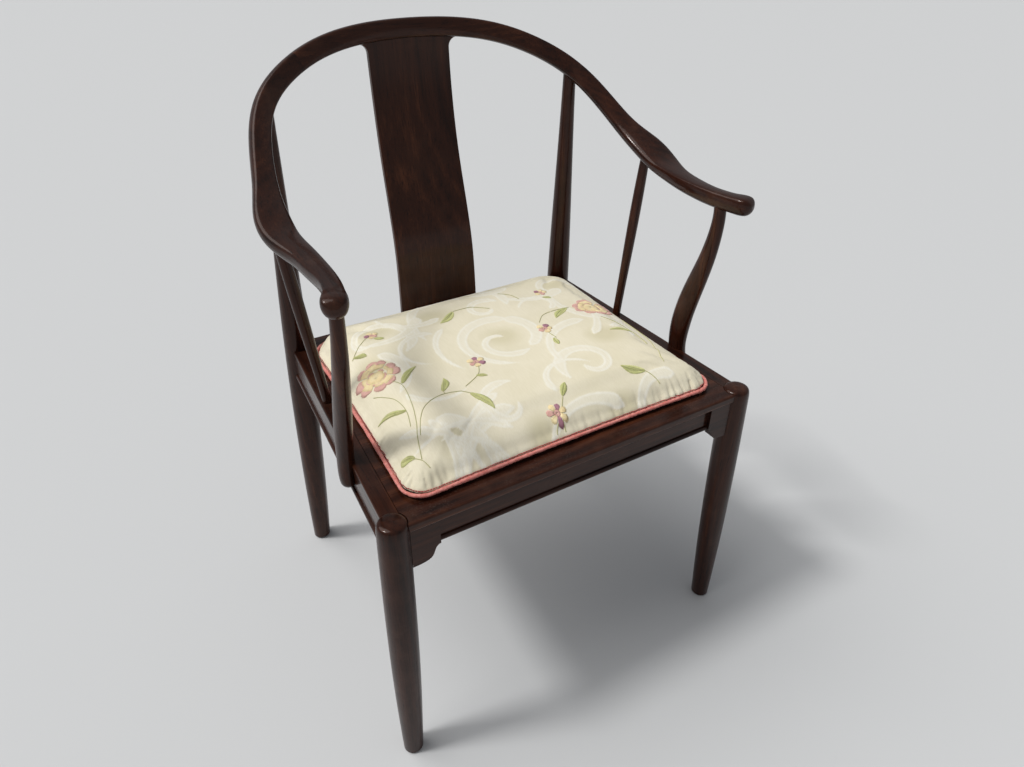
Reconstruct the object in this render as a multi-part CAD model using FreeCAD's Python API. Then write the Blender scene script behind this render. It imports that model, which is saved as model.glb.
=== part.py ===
import FreeCAD, Part
import math
import os

from FreeCAD import Vector

# Horseshoe back armchair, in millimetres. Z is up, the sitter faces -Y and X runs across the seat.
# The origin is on the floor under the middle of the chair. Distances named "back" are measured
# from the line of the front feet towards the crest, and distances named "out" from the middle plane.

# The whole chair
overall_height = 817.0
seat_height = 407.5
front_feet_to_middle = 225.0

# Legs and rear posts
front_foot_out = 256.5
front_head_out = 244.5
front_head_back = 4.0
front_leg_rise = 4.0
front_leg_radius = 18.3
rear_foot_out = 242.0
rear_foot_back = 441.0
rear_post_radius = 18.6
glide_radius = 9.0
glide_thickness = 3.0
glide_nail_radius = 1.4
glide_nail_length = 14.0

# The bow: crest in the middle and an arm on each side
bow_out = 258.0
bow_back = 453.5
bow_reach = 389.0
bow_drop = 165.5
bow_width = 24.0
bow_thickness = 21.5
crest_joint_dowel_radius = 4.0
crest_joint_dowel_length = 36.0
crest_joint_dowel_spread = 10.0

# Splat
splat_width = 128.0
splat_thickness = 10.0
splat_foot_back = 403.5
splat_lean = 46.5
splat_flare = 12.0
splat_tenon_width = 96.0
splat_tenon_thickness = 5.0
splat_tenon_depth = 11.0

# Goosenecks and side spindles
gooseneck_depth = 31.0
gooseneck_width = 20.0
gooseneck_below_seat = 37.0
gooseneck_sway = 41.0
gooseneck_foot_out = 253.5
gooseneck_tenon_radius = 4.5
spindle_radius = 7.5
spindle_foot_inset = 1.8
spindle_back = 250.0
spindle_tenon_radius = 4.0
post_tenon_radius = 5.5
tenon_depth_in_rail = 14.0

# Seat rails, panel, brackets and corner blocks
rail_height = 46.0
rail_outer_offset = 8.0
rail_inner_offset = 17.0
front_rail_face = 4.0
front_rail_inner = 18.0
rear_rail_back = 406.5
rear_rail_thickness = 24.0
rail_edge_round = 2.0
bead_radius = 3.2
rail_tenon_height = 20.0
rail_tenon_thickness = 8.0
tenon_tip_gap = 0.8
panel_thickness = 12.0
panel_ledge = 5.0
panel_front_lap = 11.0
panel_edge_round = 3.0
panel_gap = 0.6
bracket_length = 50.0
bracket_drop = 20.0
bracket_thickness = 14.0
bracket_set_back = 2.0
block_leg = 34.0
block_height = 28.0
screw_radius = 2.0
screw_head_radius = 3.8
screw_head_depth = 3.0
block_screw_bite = 6.0
gooseneck_screw_length = 27.0
gooseneck_screw_spread = 10.0

# Loose cushion
cushion_front_back = 18.5
cushion_splat_gap = 9.0
cushion_spindle_gap = 7.5
cushion_rear_taper = 4.0
cushion_height = 44.5
cushion_seam_height = 5.5
cushion_front_corner = 27.0
cushion_rear_corner = 44.0
piping_radius = 3.0

# Fits
seat_clearance = 0.3
joint_clearance = 0.15
scribe_gap = 0.2
overrun = 60.0

# Bow, one row per station from the middle of the crest to the end of the arm: shares of the way out,
# of the reach forward and of the drop, then of the width and thickness, and last how far the broad
# face has turned from facing forward (0) to facing up (1).
bow_station_shares = [
    (0.0, 0.0, 0.0, 1.0, 1.0, 0.05),
    (0.29, 0.02, 0.02, 1.0, 1.0, 0.08),
    (0.56, 0.07, 0.11, 1.0, 1.0, 0.16),
    (0.79, 0.16, 0.29, 1.0, 1.0, 0.3),
    (0.91, 0.28, 0.51, 1.02, 1.0, 0.55),
    (0.97, 0.42, 0.745, 1.16, 0.98, 0.68),
    (1.0, 0.53, 0.87, 1.6, 0.96, 0.78),
    (1.0, 0.62, 0.95, 1.6, 0.96, 0.9),
    (0.97, 0.72, 0.985, 1.2, 0.98, 0.97),
    (0.955, 0.81, 1.0, 1.04, 1.0, 1.0),
    (0.95, 0.91, 1.005, 0.88, 1.02, 1.0),
    (0.985, 1.02, 1.005, 1.08, 1.06, 1.0),
]
bow_steps_per_station = 3
bow_joint_station = 2.25
post_station = 3.27
spindle_station = 6.0
gooseneck_station = 10.25

# Half the bow's section from the middle of its rounded back to the middle of its broad face: shares
# of half the width, then of half the thickness.
bow_section_shares = [
    (0.0, -1.0),
    (0.42, -0.9),
    (0.76, -0.6),
    (0.96, -0.12),
    (1.0, 0.38),
    (0.88, 0.82),
    (0.5, 0.97),
]

# Turned profiles: shares of the length from the foot, then of the largest radius.
front_leg_shares = [(0.0, 0.7), (0.15, 0.82), (0.36, 0.94), (0.66, 1.0), (0.86, 0.99), (0.985, 0.97)]
rear_post_shares = [(0.0, 0.72), (0.13, 0.88), (0.3, 0.98), (0.45, 1.0), (0.62, 0.9), (0.82, 0.66), (1, 0.47)]
spindle_shares = [(0.0, 0.8), (0.3, 0.88), (0.62, 1.0), (0.85, 0.92), (1.0, 0.78)]
dome_shares = [(1.0, 0.0), (0.975, 0.42), (0.89, 0.76), (0.5, 0.95), (0.0, 1.0)]

# Gooseneck from its lower end to the arm: shares of its height, of its sway back, of the way from its
# foot to its head across, then of its depth and width.
gooseneck_shares = [
    (0.0, 0.83, 0.0, 0.84, 0.92),
    (0.2, 0.95, 0.5, 1.0, 1.0),
    (0.43, 0.65, 0.75, 0.99, 0.98),
    (0.66, 0.21, 0.8, 0.78, 0.88),
    (0.86, -0.05, 0.9, 0.58, 0.76),
    (1.0, 0.0, 1.0, 0.52, 0.72),
]
gooseneck_steps_per_station = 2

# Splat seen from the side, as shares of its height and of its lean back, and its edge seen from the
# front, as shares of the height up to its flare and of its half width.
splat_side_shares = [(0, 0), (0.13, 0), (0.27, 0.07), (0.45, 0.36), (0.62, 0.68), (0.8, 0.9), (1, 1)]
splat_edge_shares = [(0.0, 1.0), (0.35, 0.96), (0.7, 0.92), (1.0, 0.91)]
splat_edge_round_share = 0.22
splat_station = 0.95

# Cushion: its crown rises from the seam as a quarter of a rounded square does, with one outline for each
# angle. Below the seam each outline has a share of the seam's height and lies in by a share of half the
# depth. The sides draw in by a share of their length.
cushion_crown_angles = [0, 12, 24, 36, 48, 60, 71, 80, 86]
cushion_underside_shares = [(0.0, 0.06), (0.4, 0.018), (1.0, 0.0)]
cushion_side_draw_share = 0.009
cushion_corner_swell_share = 0.08

# Bracket outline: shares of its length inwards from the leg, then of its drop below the rail.
bracket_curve_shares = [(1.0, 0.0), (0.9, 0.12), (0.84, 0.42), (0.76, 0.78), (0.62, 0.94), (0.4, 1.0)]


def at(out, back, height):
    return Vector(out, back - front_feet_to_middle, height)


def unit(vector):
    return vector.normalize()


def mirrored(shape):
    return shape.mirror(Vector(0, 0, 0), Vector(1, 0, 0))


def box_between(low, high):
    return Part.makeBox(high.x - low.x, high.y - low.y, high.z - low.z, low)


def rod(start, end, radius):
    return Part.makeCylinder(radius, (end - start).Length, start, end - start)


def spline_through(points, parameters=None):
    curve = Part.BSplineCurve()
    if parameters is None:
        curve.interpolate(points)
    else:
        curve.interpolate(Points=points, Parameters=parameters)
    return curve


def closed_section(centre, across, normal, half_width, half_depth, outline):
    # A smooth closed wire through an outline given in shares of its half width and half depth.
    points = [centre + across * (half_width * b) + normal * (half_depth * a) for b, a in outline]
    curve = Part.BSplineCurve()
    curve.interpolate(Points=points, PeriodicFlag=True, Parameters=list(range(len(points) + 1)))
    edges = []
    for quarter in range(4):
        piece = curve.copy()
        piece.segment(len(points) * quarter / 4, len(points) * (quarter + 1) / 4)
        edges.append(piece.toShape())
    return Part.Wire(edges)


def both_sides(half_outline):
    # Closes a half outline that starts on the middle line; its mirror image follows in reverse.
    middle = [(0.0, 1.0)]
    other = [(-b, a) for b, a in reversed(half_outline) if b > 0]
    return half_outline + middle + other


def lofted(wires):
    # A smooth solid through sections, with its faces pointing outwards whichever way the sections run.
    solid = Part.makeLoft(wires, True, False)
    if solid.Volume < 0:
        solid.reverse()
    return solid


def round_outline(count):
    turn = 2 * math.pi / count
    return [(math.sin(i * turn), -math.cos(i * turn)) for i in range(count)]


def rounded_end(centre, direction, across, normal, half_width, half_depth, outline, reach, angles):
    # Sections that close a bar with a round end, one for each angle of a quarter circle.
    wires = []
    for angle in angles:
        shrink = math.cos(math.radians(angle))
        middle = centre + direction * (reach * math.sin(math.radians(angle)))
        width = half_width * shrink
        depth = half_depth * shrink
        wires.append(closed_section(middle, across, normal, width, depth, outline))
    return wires


end_angles = [26, 48, 64, 76]


# Bow

def bow_curves():
    # The path of the bow's middle line, and its section sizes, both running over the same stations.
    places = []
    sizes = []
    crest_z = overall_height - bow_width / 2
    for out, reach, drop, width, thickness, turn in bow_station_shares:
        places.append(at(bow_out * out, bow_back - bow_reach * reach, crest_z - bow_drop * drop))
        sizes.append(Vector(bow_width * width, bow_thickness * thickness, turn * math.pi / 2))
    left_places = [Vector(-p.x, p.y, p.z) for p in reversed(places[1:])]
    left_sizes = [Vector(s) for s in reversed(sizes[1:])]
    stations = [float(i - len(places) + 1) for i in range(2 * len(places) - 1)]
    path = spline_through(left_places + places, stations)
    section = spline_through(left_sizes + sizes, stations)
    return path, section


bow_path, bow_sizes = bow_curves()
bow_outline = both_sides(bow_section_shares)


def bow_frame(station):
    # Middle, direction, width direction and face direction of the bow at a station.
    centre = bow_path.value(station)
    direction = unit(bow_path.tangent(station)[0])
    inward = unit(direction.cross(Vector(0, 0, 1)))
    up = unit(inward.cross(direction))
    turn = bow_sizes.value(station).z
    normal = inward * math.cos(turn) + up * math.sin(turn)
    across = up * math.cos(turn) - inward * math.sin(turn)
    return centre, direction, across, normal


def bow_half():
    # The right half of the bow, from the middle of the crest to the rounded end of the arm.
    last = len(bow_station_shares) - 1
    wires = []
    for i in range(last * bow_steps_per_station + 1):
        station = i / bow_steps_per_station
        centre, direction, across, normal = bow_frame(station)
        half = bow_sizes.value(station) / 2
        wires.append(closed_section(centre, across, normal, half.x, half.y, bow_outline))
    end = rounded_end(centre, direction, across, normal, half.x, half.y, bow_outline, half.y, end_angles)
    return lofted(wires + end)


def beyond_joint():
    # A block that holds everything in front of the right joint between crest and arm.
    centre, direction, across, normal = bow_frame(bow_joint_station)
    side = 4 * bow_out
    block = Part.makeBox(side, side, side, Vector(-side / 2, -side / 2, 0))
    turn = FreeCAD.Rotation(Vector(0, 0, 1), direction)
    block.Placement = FreeCAD.Placement(centre, turn)
    return block


def joint_dowels():
    centre, direction, across, normal = bow_frame(bow_joint_station)
    half = direction * (crest_joint_dowel_length / 2)
    upper = centre + across * (crest_joint_dowel_spread / 2)
    lower = centre - across * (crest_joint_dowel_spread / 2)
    return [(upper - half, upper + half), (lower - half, lower + half)]


# Turned legs, posts and spindles

def turned(foot, head, shares, radius, dome_height, growth):
    # A turned piece from foot to head, with a low dome on top where dome_height is above zero.
    axis = head - foot
    length = axis.Length
    profile = [Vector(radius * r + growth, 0, (length - dome_height) * h) for h, r in shares]
    edges = [Part.makeLine(Vector(0, 0, 0), profile[0]), spline_through(profile).toShape()]
    rim = profile[-1]
    crown = Vector(0, 0, length + growth)
    if dome_height > 0:
        dome = [Vector(rim.x * r, 0, rim.z + (crown.z - rim.z) * h) for r, h in dome_shares]
        edges.append(spline_through(dome).toShape())
    else:
        crown = Vector(0, 0, rim.z)
        edges.append(Part.makeLine(rim, crown))
    edges.append(Part.makeLine(crown, Vector(0, 0, 0)))
    solid = Part.Face(Part.Wire(edges)).revolve(Vector(0, 0, 0), Vector(0, 0, 1), 360)
    solid.Placement = FreeCAD.Placement(foot, FreeCAD.Rotation(Vector(0, 0, 1), axis))
    return solid


front_foot = at(front_foot_out, 0, 0)
front_head = at(front_head_out, front_head_back, seat_height + front_leg_rise)
rear_foot = at(rear_foot_out, rear_foot_back, 0)
post_head = bow_path.value(post_station)
front_dome = front_leg_rise + bead_radius


def front_leg(growth=0.0):
    leg = turned(front_foot, front_head, front_leg_shares, front_leg_radius, front_dome, growth)
    return leg.cut(under_feet())


def rear_post(growth=0.0):
    post = turned(rear_foot, post_head, rear_post_shares, rear_post_radius, 0, growth)
    return post.cut(under_feet())


def under_feet():
    side = 2 * bow_out + overrun
    return box_between(Vector(-side, -side, -overrun), Vector(side, side, glide_thickness))


def on_axis(foot, head, height):
    return foot + (head - foot) * ((height - foot.z) / (head.z - foot.z))


def glide(foot, growth=0.0):
    base = Vector(foot.x, foot.y, 0)
    top = base + Vector(0, 0, glide_thickness)
    tip = top + Vector(0, 0, glide_nail_length + growth)
    disc = rod(base, top, glide_radius)
    disc = disc.makeFillet(glide_thickness / 3, [disc.Edges[i] for i in edges_at_height(disc, 0)])
    return disc.fuse(rod(top - Vector(0, 0, glide_thickness / 2), tip, glide_nail_radius + growth))


def edges_at_height(shape, height):
    near = joint_clearance
    found = []
    for i, edge in enumerate(shape.Edges):
        box = edge.BoundBox
        if abs(box.ZMin - height) < near and abs(box.ZMax - height) < near and edge.Length > glide_radius:
            found.append(i)
    return found


def glide_nail(foot):
    start = Vector(foot.x, foot.y, glide_thickness)
    end = start + Vector(0, 0, glide_nail_length + joint_clearance)
    return rod(start, end, glide_nail_radius + joint_clearance)


# Seat rails

rail_middle_height = seat_height - rail_height / 2
front_corner = on_axis(front_foot, front_head, rail_middle_height)
rear_corner = on_axis(rear_foot, post_head, rail_middle_height)


def rounded_outline(corners, radii):
    # A closed wire through corners in one plane, each rounded by its own radius, as lines and arcs.
    edges = []
    ends = []
    count = len(corners)
    for i in range(count):
        corner = corners[i]
        before = unit(corners[i - 1] - corner)
        after = unit(corners[(i + 1) % count] - corner)
        radius = radii[i]
        if radius == 0:
            ends.append((corner, corner, None))
            continue
        half = math.acos(max(-1.0, min(1.0, before.dot(after)))) / 2
        step = radius / math.tan(half)
        middle = corner + unit(before + after) * (radius / math.sin(half) - radius)
        ends.append((corner + before * step, corner + after * step, middle))
    for i in range(count):
        start, stop, middle = ends[i]
        if middle is not None:
            edges.append(Part.Arc(start, middle, stop).toShape())
        edges.append(Part.makeLine(stop, ends[(i + 1) % count][0]))
    return Part.Wire(edges)


def rail_between(start, end, outward, outer, inner, bottom, top):
    # A straight rail with a rounded outer top edge and a bead along its lower outer edge.
    def corner(offset, height):
        return Vector(start.x + outward.x * offset, start.y + outward.y * offset, height)
    run = Vector(end.x - start.x, end.y - start.y, 0)
    wire = rounded_outline(
        [corner(-inner, bottom), corner(outer, bottom), corner(outer, top), corner(-inner, top)],
        [0, 0, rail_edge_round, 0],
    )
    body = Part.Face(wire).extrude(run)
    bead = rod(corner(outer, bottom + bead_radius), corner(outer, bottom + bead_radius) + run, bead_radius)
    return body.fuse(bead).removeSplitter()


def tenon(start, direction, length):
    # A flat tenon that leaves the rail's end, upright, on the line between two legs.
    side = Vector(-direction.y, direction.x, 0) * (rail_tenon_thickness / 2)
    low = rail_middle_height - rail_tenon_height / 2
    base = Vector(start.x, start.y, low)
    wire = Part.makePolygon([base - side, base + side, base + side + direction * length,
                             base - side + direction * length, base - side])
    return Part.Face(wire).extrude(Vector(0, 0, rail_tenon_height))


def grown_tenon(start, direction, length):
    # The mortise for a tenon: the same block with the joint's clearance all round.
    wide = rail_tenon_thickness / 2 + joint_clearance
    side = Vector(-direction.y, direction.x, 0) * wide
    low = rail_middle_height - rail_tenon_height / 2 - joint_clearance
    base = Vector(start.x, start.y, low) - direction * joint_clearance
    run = direction * (length + joint_clearance)
    wire = Part.makePolygon([base - side, base + side, base + side + run, base - side + run, base - side])
    return Part.Face(wire).extrude(Vector(0, 0, rail_tenon_height + 2 * joint_clearance))


across_x = Vector(1, 0, 0)
side_run = unit(Vector(rear_corner.x - front_corner.x, rear_corner.y - front_corner.y, 0))
side_outward = Vector(side_run.y, -side_run.x, 0)
tenon_stop = rail_tenon_thickness / 2 + tenon_tip_gap
tenon_length = front_leg_radius + tenon_stop


def side_rail_tenons():
    # Start points and directions of the right side rail's two tenons, from their inner ends.
    front = front_corner + side_run * tenon_stop
    rear = rear_corner - side_run * tenon_stop
    return [(front, side_run), (rear, side_run * -1)]


def front_rail_tenon():
    return front_corner - across_x * tenon_stop, across_x * -1


def rear_rail_tenon():
    return rear_corner - across_x * tenon_stop, across_x * -1


def side_rail_bar(growth):
    # The side rail before its joints are cut, thicker on its inner face by the growth.
    outer = rail_outer_offset
    inner = rail_inner_offset + growth
    bottom = seat_height - rail_height
    return rail_between(front_corner, rear_corner, side_outward, outer, inner, bottom, seat_height)


def side_rail():
    body = largest(side_rail_bar(0).cut(front_leg(scribe_gap)).cut(rear_post(scribe_gap)))
    for start, direction in side_rail_tenons():
        body = body.fuse(tenon(start, direction, tenon_length))
    body = body.cut(panel_recess())
    body = body.cut(gooseneck(scribe_gap)).cut(spindle_tenon_hole())
    for start, end in gooseneck_screw_lines():
        body = body.cut(screw(start, end, joint_clearance))
    return largest(without_block_screws(body))


def without_block_screws(body):
    for block_place in block_corners().values():
        start, end = block_screw_line(*block_place)
        hole = screw(start, end, joint_clearance)
        body = body.cut(hole).cut(mirrored(hole))
    return body


def largest(shape):
    return max(shape.Solids, key=lambda solid: solid.Volume)


def front_rail():
    bottom = seat_height - rail_height
    top = seat_height - panel_thickness
    left = Vector(-front_corner.x, front_corner.y, front_corner.z)
    body = rail_between(front_corner, left, Vector(0, -1, 0), front_rail_face, front_rail_inner, bottom, top)
    beside = front_leg(scribe_gap).fuse(side_rail_bar(scribe_gap))
    body = largest(body.cut(beside).cut(mirrored(beside)))
    start, direction = front_rail_tenon()
    peg = tenon(start, direction, tenon_length)
    return without_block_screws(body.fuse(peg).fuse(mirrored(peg)))


def rear_rail():
    bottom = seat_height - rail_height
    centre = rear_rail_back - front_feet_to_middle
    right = Vector(rear_corner.x, centre, 0)
    left = Vector(-rear_corner.x, centre, 0)
    half = rear_rail_thickness / 2
    body = rail_between(right, left, Vector(0, 1, 0), half, half, bottom, seat_height)
    beside = rear_post(scribe_gap).fuse(side_rail_bar(scribe_gap))
    body = largest(body.cut(beside).cut(mirrored(beside)))
    start, direction = rear_rail_tenon()
    peg = tenon(start, direction, tenon_length)
    body = without_block_screws(body.fuse(peg).fuse(mirrored(peg)))
    return body.cut(panel_recess()).cut(splat_foot_tenon(joint_clearance))


# Seat panel

def panel_outline(gap, lap):
    # The panel's plan: along the side rails' ledges, over the front rail and up to the rear rail's ledge.
    wall = rail_inner_offset - panel_ledge + gap
    front = front_corner - side_outward * wall
    rear = rear_corner - side_outward * wall
    front_y = front_corner.y - lap
    rear_y = rear_rail_back - rear_rail_thickness / 2 + panel_ledge - gap - front_feet_to_middle
    slope = (rear.x - front.x) / (rear.y - front.y)
    front_x = front.x + slope * (front_y - front.y)
    rear_x = front.x + slope * (rear_y - front.y)
    return [Vector(front_x, front_y, 0), Vector(rear_x, rear_y, 0), Vector(-rear_x, rear_y, 0),
            Vector(-front_x, front_y, 0)]


def panel_recess():
    corners = panel_outline(0, panel_front_lap + overrun)
    corners = [c + Vector(0, 0, seat_height - panel_thickness) for c in corners]
    face = Part.Face(Part.makePolygon(corners + corners[:1]))
    return face.extrude(Vector(0, 0, panel_thickness + overrun))


def seat_panel():
    corners = panel_outline(panel_gap, panel_front_lap)
    corners = [c + Vector(0, 0, seat_height - panel_thickness) for c in corners]
    face = Part.Face(Part.makePolygon(corners + corners[:1]))
    panel = face.extrude(Vector(0, 0, panel_thickness))
    front_y = corners[0].y
    near = joint_clearance
    front_edges = [e for e in panel.Edges
                   if abs(e.BoundBox.YMax - front_y) < near and e.BoundBox.XLength > bow_out]
    panel = panel.makeFillet(panel_edge_round, front_edges)
    leg = front_leg(panel_gap)
    panel = panel.cut(leg).cut(mirrored(leg))
    post = rear_post(panel_gap)
    return panel.cut(post).cut(mirrored(post))


# Corner brackets under the front rail

def corner_bracket():
    rail_bottom = seat_height - rail_height
    top = seat_height - panel_thickness
    leg_x = front_corner.x
    front_y = front_corner.y - panel_front_lap + bracket_set_back
    curve = [Vector(leg_x - bracket_length * s, front_y, rail_bottom - bracket_drop * d)
             for s, d in bracket_curve_shares]
    upper_inner = Vector(curve[0].x, front_y, top)
    upper_outer = Vector(leg_x, front_y, top)
    lower_outer = Vector(leg_x, front_y, curve[-1].z)
    wire = Part.Wire([
        Part.makeLine(upper_outer, upper_inner),
        Part.makeLine(upper_inner, curve[0]),
        spline_through(curve).toShape(),
        Part.makeLine(curve[-1], lower_outer),
        Part.makeLine(lower_outer, upper_outer),
    ])
    block = Part.Face(wire).extrude(Vector(0, bracket_thickness, 0))
    rail_face = front_corner.y - front_rail_face
    low = Vector(0, rail_face, rail_bottom)
    behind = box_between(low, Vector(leg_x + overrun, rail_face + overrun, top + overrun))
    bead_centre = Vector(0, rail_face, rail_bottom + bead_radius)
    bead = rod(bead_centre, bead_centre + across_x * (leg_x + overrun), bead_radius + joint_clearance)
    return largest(block.cut(behind).cut(bead).cut(front_leg(scribe_gap)))


# Glued corner blocks and their screws

def block_corners():
    # Inner corner of the rails at the front and at the rear, which way the side rail runs from it, and
    # the two ends of the leg beside it.
    front_y = front_corner.y + front_rail_inner
    rear_y = rear_rail_back - rear_rail_thickness / 2 - front_feet_to_middle
    base = front_corner - side_outward * rail_inner_offset
    slope = side_run.x / side_run.y
    front = Vector(base.x + slope * (front_y - base.y), front_y, 0)
    rear = Vector(base.x + slope * (rear_y - base.y), rear_y, 0)
    return {
        "front": (front, side_run, front_foot, front_head),
        "rear": (rear, side_run * -1, rear_foot, post_head),
    }


def block_screw_line(corner, run, foot, head):
    # From the block's free face, halfway up the block, into the side of the leg.
    height = seat_height - panel_thickness - block_height / 2
    middle = corner + (run - across_x) * (block_leg / 2)
    start = Vector(middle.x, middle.y, height)
    axis = on_axis(foot, head, height)
    end = axis + unit(start - axis) * (front_leg_radius - block_screw_bite)
    return start, end


def screw(start, end, growth):
    # A countersunk wood screw whose head lies flush with the face at start.
    shank_radius = screw_radius + growth
    head_radius = screw_head_radius + growth
    shank = rod(start, end, shank_radius)
    head = Part.makeCone(head_radius, shank_radius, screw_head_depth, start, end - start)
    return shank.fuse(head).removeSplitter()


def corner_block(corner, run, foot, head):
    top = seat_height - panel_thickness
    base = Vector(corner.x, corner.y, top - block_height)
    points = [base, base + run * block_leg, base - across_x * block_leg]
    block = Part.Face(Part.makePolygon(points + points[:1])).extrude(Vector(0, 0, block_height))
    block = block.cut(front_leg(scribe_gap)).cut(rear_post(scribe_gap))
    start, end = block_screw_line(corner, run, foot, head)
    return largest(block.cut(screw(start, end, joint_clearance)))


# Goosenecks

gooseneck_foot_z = seat_height - gooseneck_below_seat + gooseneck_width / 2
gooseneck_head = bow_path.value(gooseneck_station)


def gooseneck_rows(growth):
    rows = []
    for height, sway, way, depth, width in gooseneck_shares:
        z = gooseneck_foot_z + (gooseneck_head.z - gooseneck_foot_z) * height
        out = gooseneck_foot_out + (gooseneck_head.x - gooseneck_foot_out) * way
        centre = Vector(out, gooseneck_head.y + gooseneck_sway * sway, z)
        half_depth = gooseneck_depth * depth / 2 + growth
        half_width = gooseneck_width * width / 2 + growth
        rows.append((centre, Vector(half_depth, half_width, 0)))
    return rows


def gooseneck(growth=0.0):
    rows = gooseneck_rows(growth)
    stations = [float(i) for i in range(len(rows))]
    path = spline_through([place for place, size in rows], stations)
    sizes = spline_through([size for place, size in rows], stations)
    outline = round_outline(12)
    wires = []
    steps = (len(rows) - 1) * gooseneck_steps_per_station
    for i in range(steps + 1):
        station = i / gooseneck_steps_per_station
        direction = unit(path.tangent(station)[0])
        depthwise = unit(across_x.cross(direction))
        widthwise = unit(direction.cross(depthwise))
        size = sizes.value(station)
        wires.append(closed_section(path.value(station), depthwise, widthwise, size.x, size.y, outline))
    direction = unit(path.tangent(0.0)[0])
    depthwise = unit(across_x.cross(direction))
    widthwise = unit(direction.cross(depthwise))
    size = sizes.value(0.0)
    foot = rounded_end(path.value(0.0), direction * -1, depthwise, widthwise, size.x, size.y, outline,
                       size.y, end_angles)
    foot.reverse()
    return lofted(foot + wires)


def gooseneck_tenon(growth=0.0):
    middle = gooseneck_rows(0)[-1][0]
    up = Vector(0, 0, 1)
    return rod(middle - up * bow_thickness, middle + up * growth, gooseneck_tenon_radius + growth)


def gooseneck_screw_lines():
    # Two screws from inside the side rail into the gooseneck's lapped foot.
    foot = gooseneck_rows(0)[0][0]
    along_rail = (foot.y - front_corner.y) / side_run.y
    inner = front_corner + side_run * along_rail - side_outward * rail_inner_offset
    lines = []
    for height in (gooseneck_foot_z, gooseneck_foot_z + gooseneck_screw_spread):
        start = Vector(inner.x, inner.y, height)
        lines.append((start, start + side_outward * gooseneck_screw_length))
    return lines


def finished_gooseneck(bow):
    lowered = bow.translated(Vector(0, 0, -scribe_gap))
    neck = largest(lower_piece(gooseneck().cut(lowered)))
    neck = neck.fuse(gooseneck_tenon())
    for start, end in gooseneck_screw_lines():
        neck = neck.cut(screw(start, end, joint_clearance))
    return neck


def lower_piece(shape):
    return min(shape.Solids, key=lambda solid: solid.BoundBox.ZMin)


# Side spindles

def spindle_ends():
    # The foot stands on the side rail, a little inside the line between the middles of its legs.
    along_rail = (at(0, spindle_back, 0).y - front_corner.y) / side_run.y
    place = front_corner + side_run * along_rail - side_outward * spindle_foot_inset
    foot = Vector(place.x, place.y, seat_height)
    head = bow_path.value(spindle_station)
    return foot, head


def spindle_tenon_hole():
    foot, head = spindle_ends()
    down = unit(foot - head)
    return rod(foot - down * overrun / 4, foot + down * (tenon_depth_in_rail + joint_clearance),
               spindle_tenon_radius + joint_clearance)


def spindle(bow):
    foot, head = spindle_ends()
    up = unit(head - foot)
    body = turned(foot, head, spindle_shares, spindle_radius, 0, 0)
    body = body.cut(box_between(foot - Vector(overrun, overrun, overrun),
                                foot + Vector(overrun, overrun, scribe_gap)))
    body = lower_piece(body.cut(bow.translated(Vector(0, 0, -scribe_gap))))
    peg = rod(foot - up * tenon_depth_in_rail, head, spindle_tenon_radius)
    return body.fuse(peg)


def spindle_head_hole():
    foot, head = spindle_ends()
    up = unit(head - foot)
    return rod(head - up * overrun / 2, head + up * joint_clearance, spindle_tenon_radius + joint_clearance)


# Rear posts' heads

def post_tenon(growth=0.0):
    up = unit(post_head - rear_foot)
    return rod(post_head - up * overrun / 2, post_head + up * growth, post_tenon_radius + growth)


# Back splat

crest_underside = bow_path.value(splat_station).z - bow_width / 2


def splat_bend():
    # A slab as thick as the splat, bent to its side view and wide enough for its whole front view.
    top = overall_height - bow_width / 2
    half = splat_thickness / 2
    front = []
    for height, lean in splat_side_shares:
        z = seat_height + (crest_underside - seat_height) * height
        front.append(at(-splat_width, splat_foot_back + splat_lean * lean - half, z))
    step = Vector(0, splat_thickness, 0)
    back = [point + step for point in front]
    front_top = Vector(front[-1].x, front[-1].y, top)
    wire = Part.Wire([
        spline_through(front).toShape(),
        Part.makeLine(front[-1], front_top),
        Part.makeLine(front_top, front_top + step),
        Part.makeLine(front_top + step, back[-1]),
        spline_through(back).toShape(),
        Part.makeLine(back[0], front[0]),
    ])
    return Part.Face(wire).extrude(Vector(2 * splat_width, 0, 0))


def splat_front():
    # The splat's front view: waisted edges that flare out under the crest, extruded through the bend.
    top = overall_height - bow_width / 2
    y = splat_foot_back - front_feet_to_middle - overrun
    flare_z = crest_underside - splat_flare
    edge = [Vector(splat_width / 2 * width, y, seat_height + (flare_z - seat_height) * height)
            for height, width in splat_edge_shares]
    neck = edge[-1]
    turn = splat_flare * math.sqrt(0.5)
    bend = Vector(neck.x + splat_flare - turn, y, neck.z + turn)
    wing = Vector(neck.x + splat_flare, y, crest_underside)
    right = [spline_through(edge).toShape(), Part.Arc(neck, bend, wing).toShape(),
             Part.makeLine(wing, Vector(wing.x, y, top))]
    left = [one.mirror(Vector(0, 0, 0), Vector(1, 0, 0)) for one in reversed(right)]
    across_top = Part.makeLine(Vector(wing.x, y, top), Vector(-wing.x, y, top))
    across_foot = Part.makeLine(Vector(-edge[0].x, y, seat_height), edge[0])
    wire = Part.Wire(Part.__sortEdges__(right + [across_top] + left + [across_foot]))
    return Part.Face(wire).extrude(Vector(0, 2 * overrun + splat_lean, 0))


def splat(bow):
    board = splat_bend().common(splat_front())
    half_height = (crest_underside - seat_height) / 2
    long_edges = [e for e in board.Edges if e.BoundBox.ZLength > half_height]
    board = board.makeFillet(splat_thickness * splat_edge_round_share, long_edges)
    board = lower_piece(board.cut(bow.translated(Vector(0, 0, -scribe_gap))))
    return board.fuse(splat_head_tenon(0)).fuse(splat_foot_tenon(0))


def splat_tongue(low_z, high_z, back, growth):
    half = splat_tenon_width / 2 + growth
    deep = splat_tenon_thickness / 2 + growth
    return box_between(at(-half, back - deep, low_z), at(half, back + deep, high_z))


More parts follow.
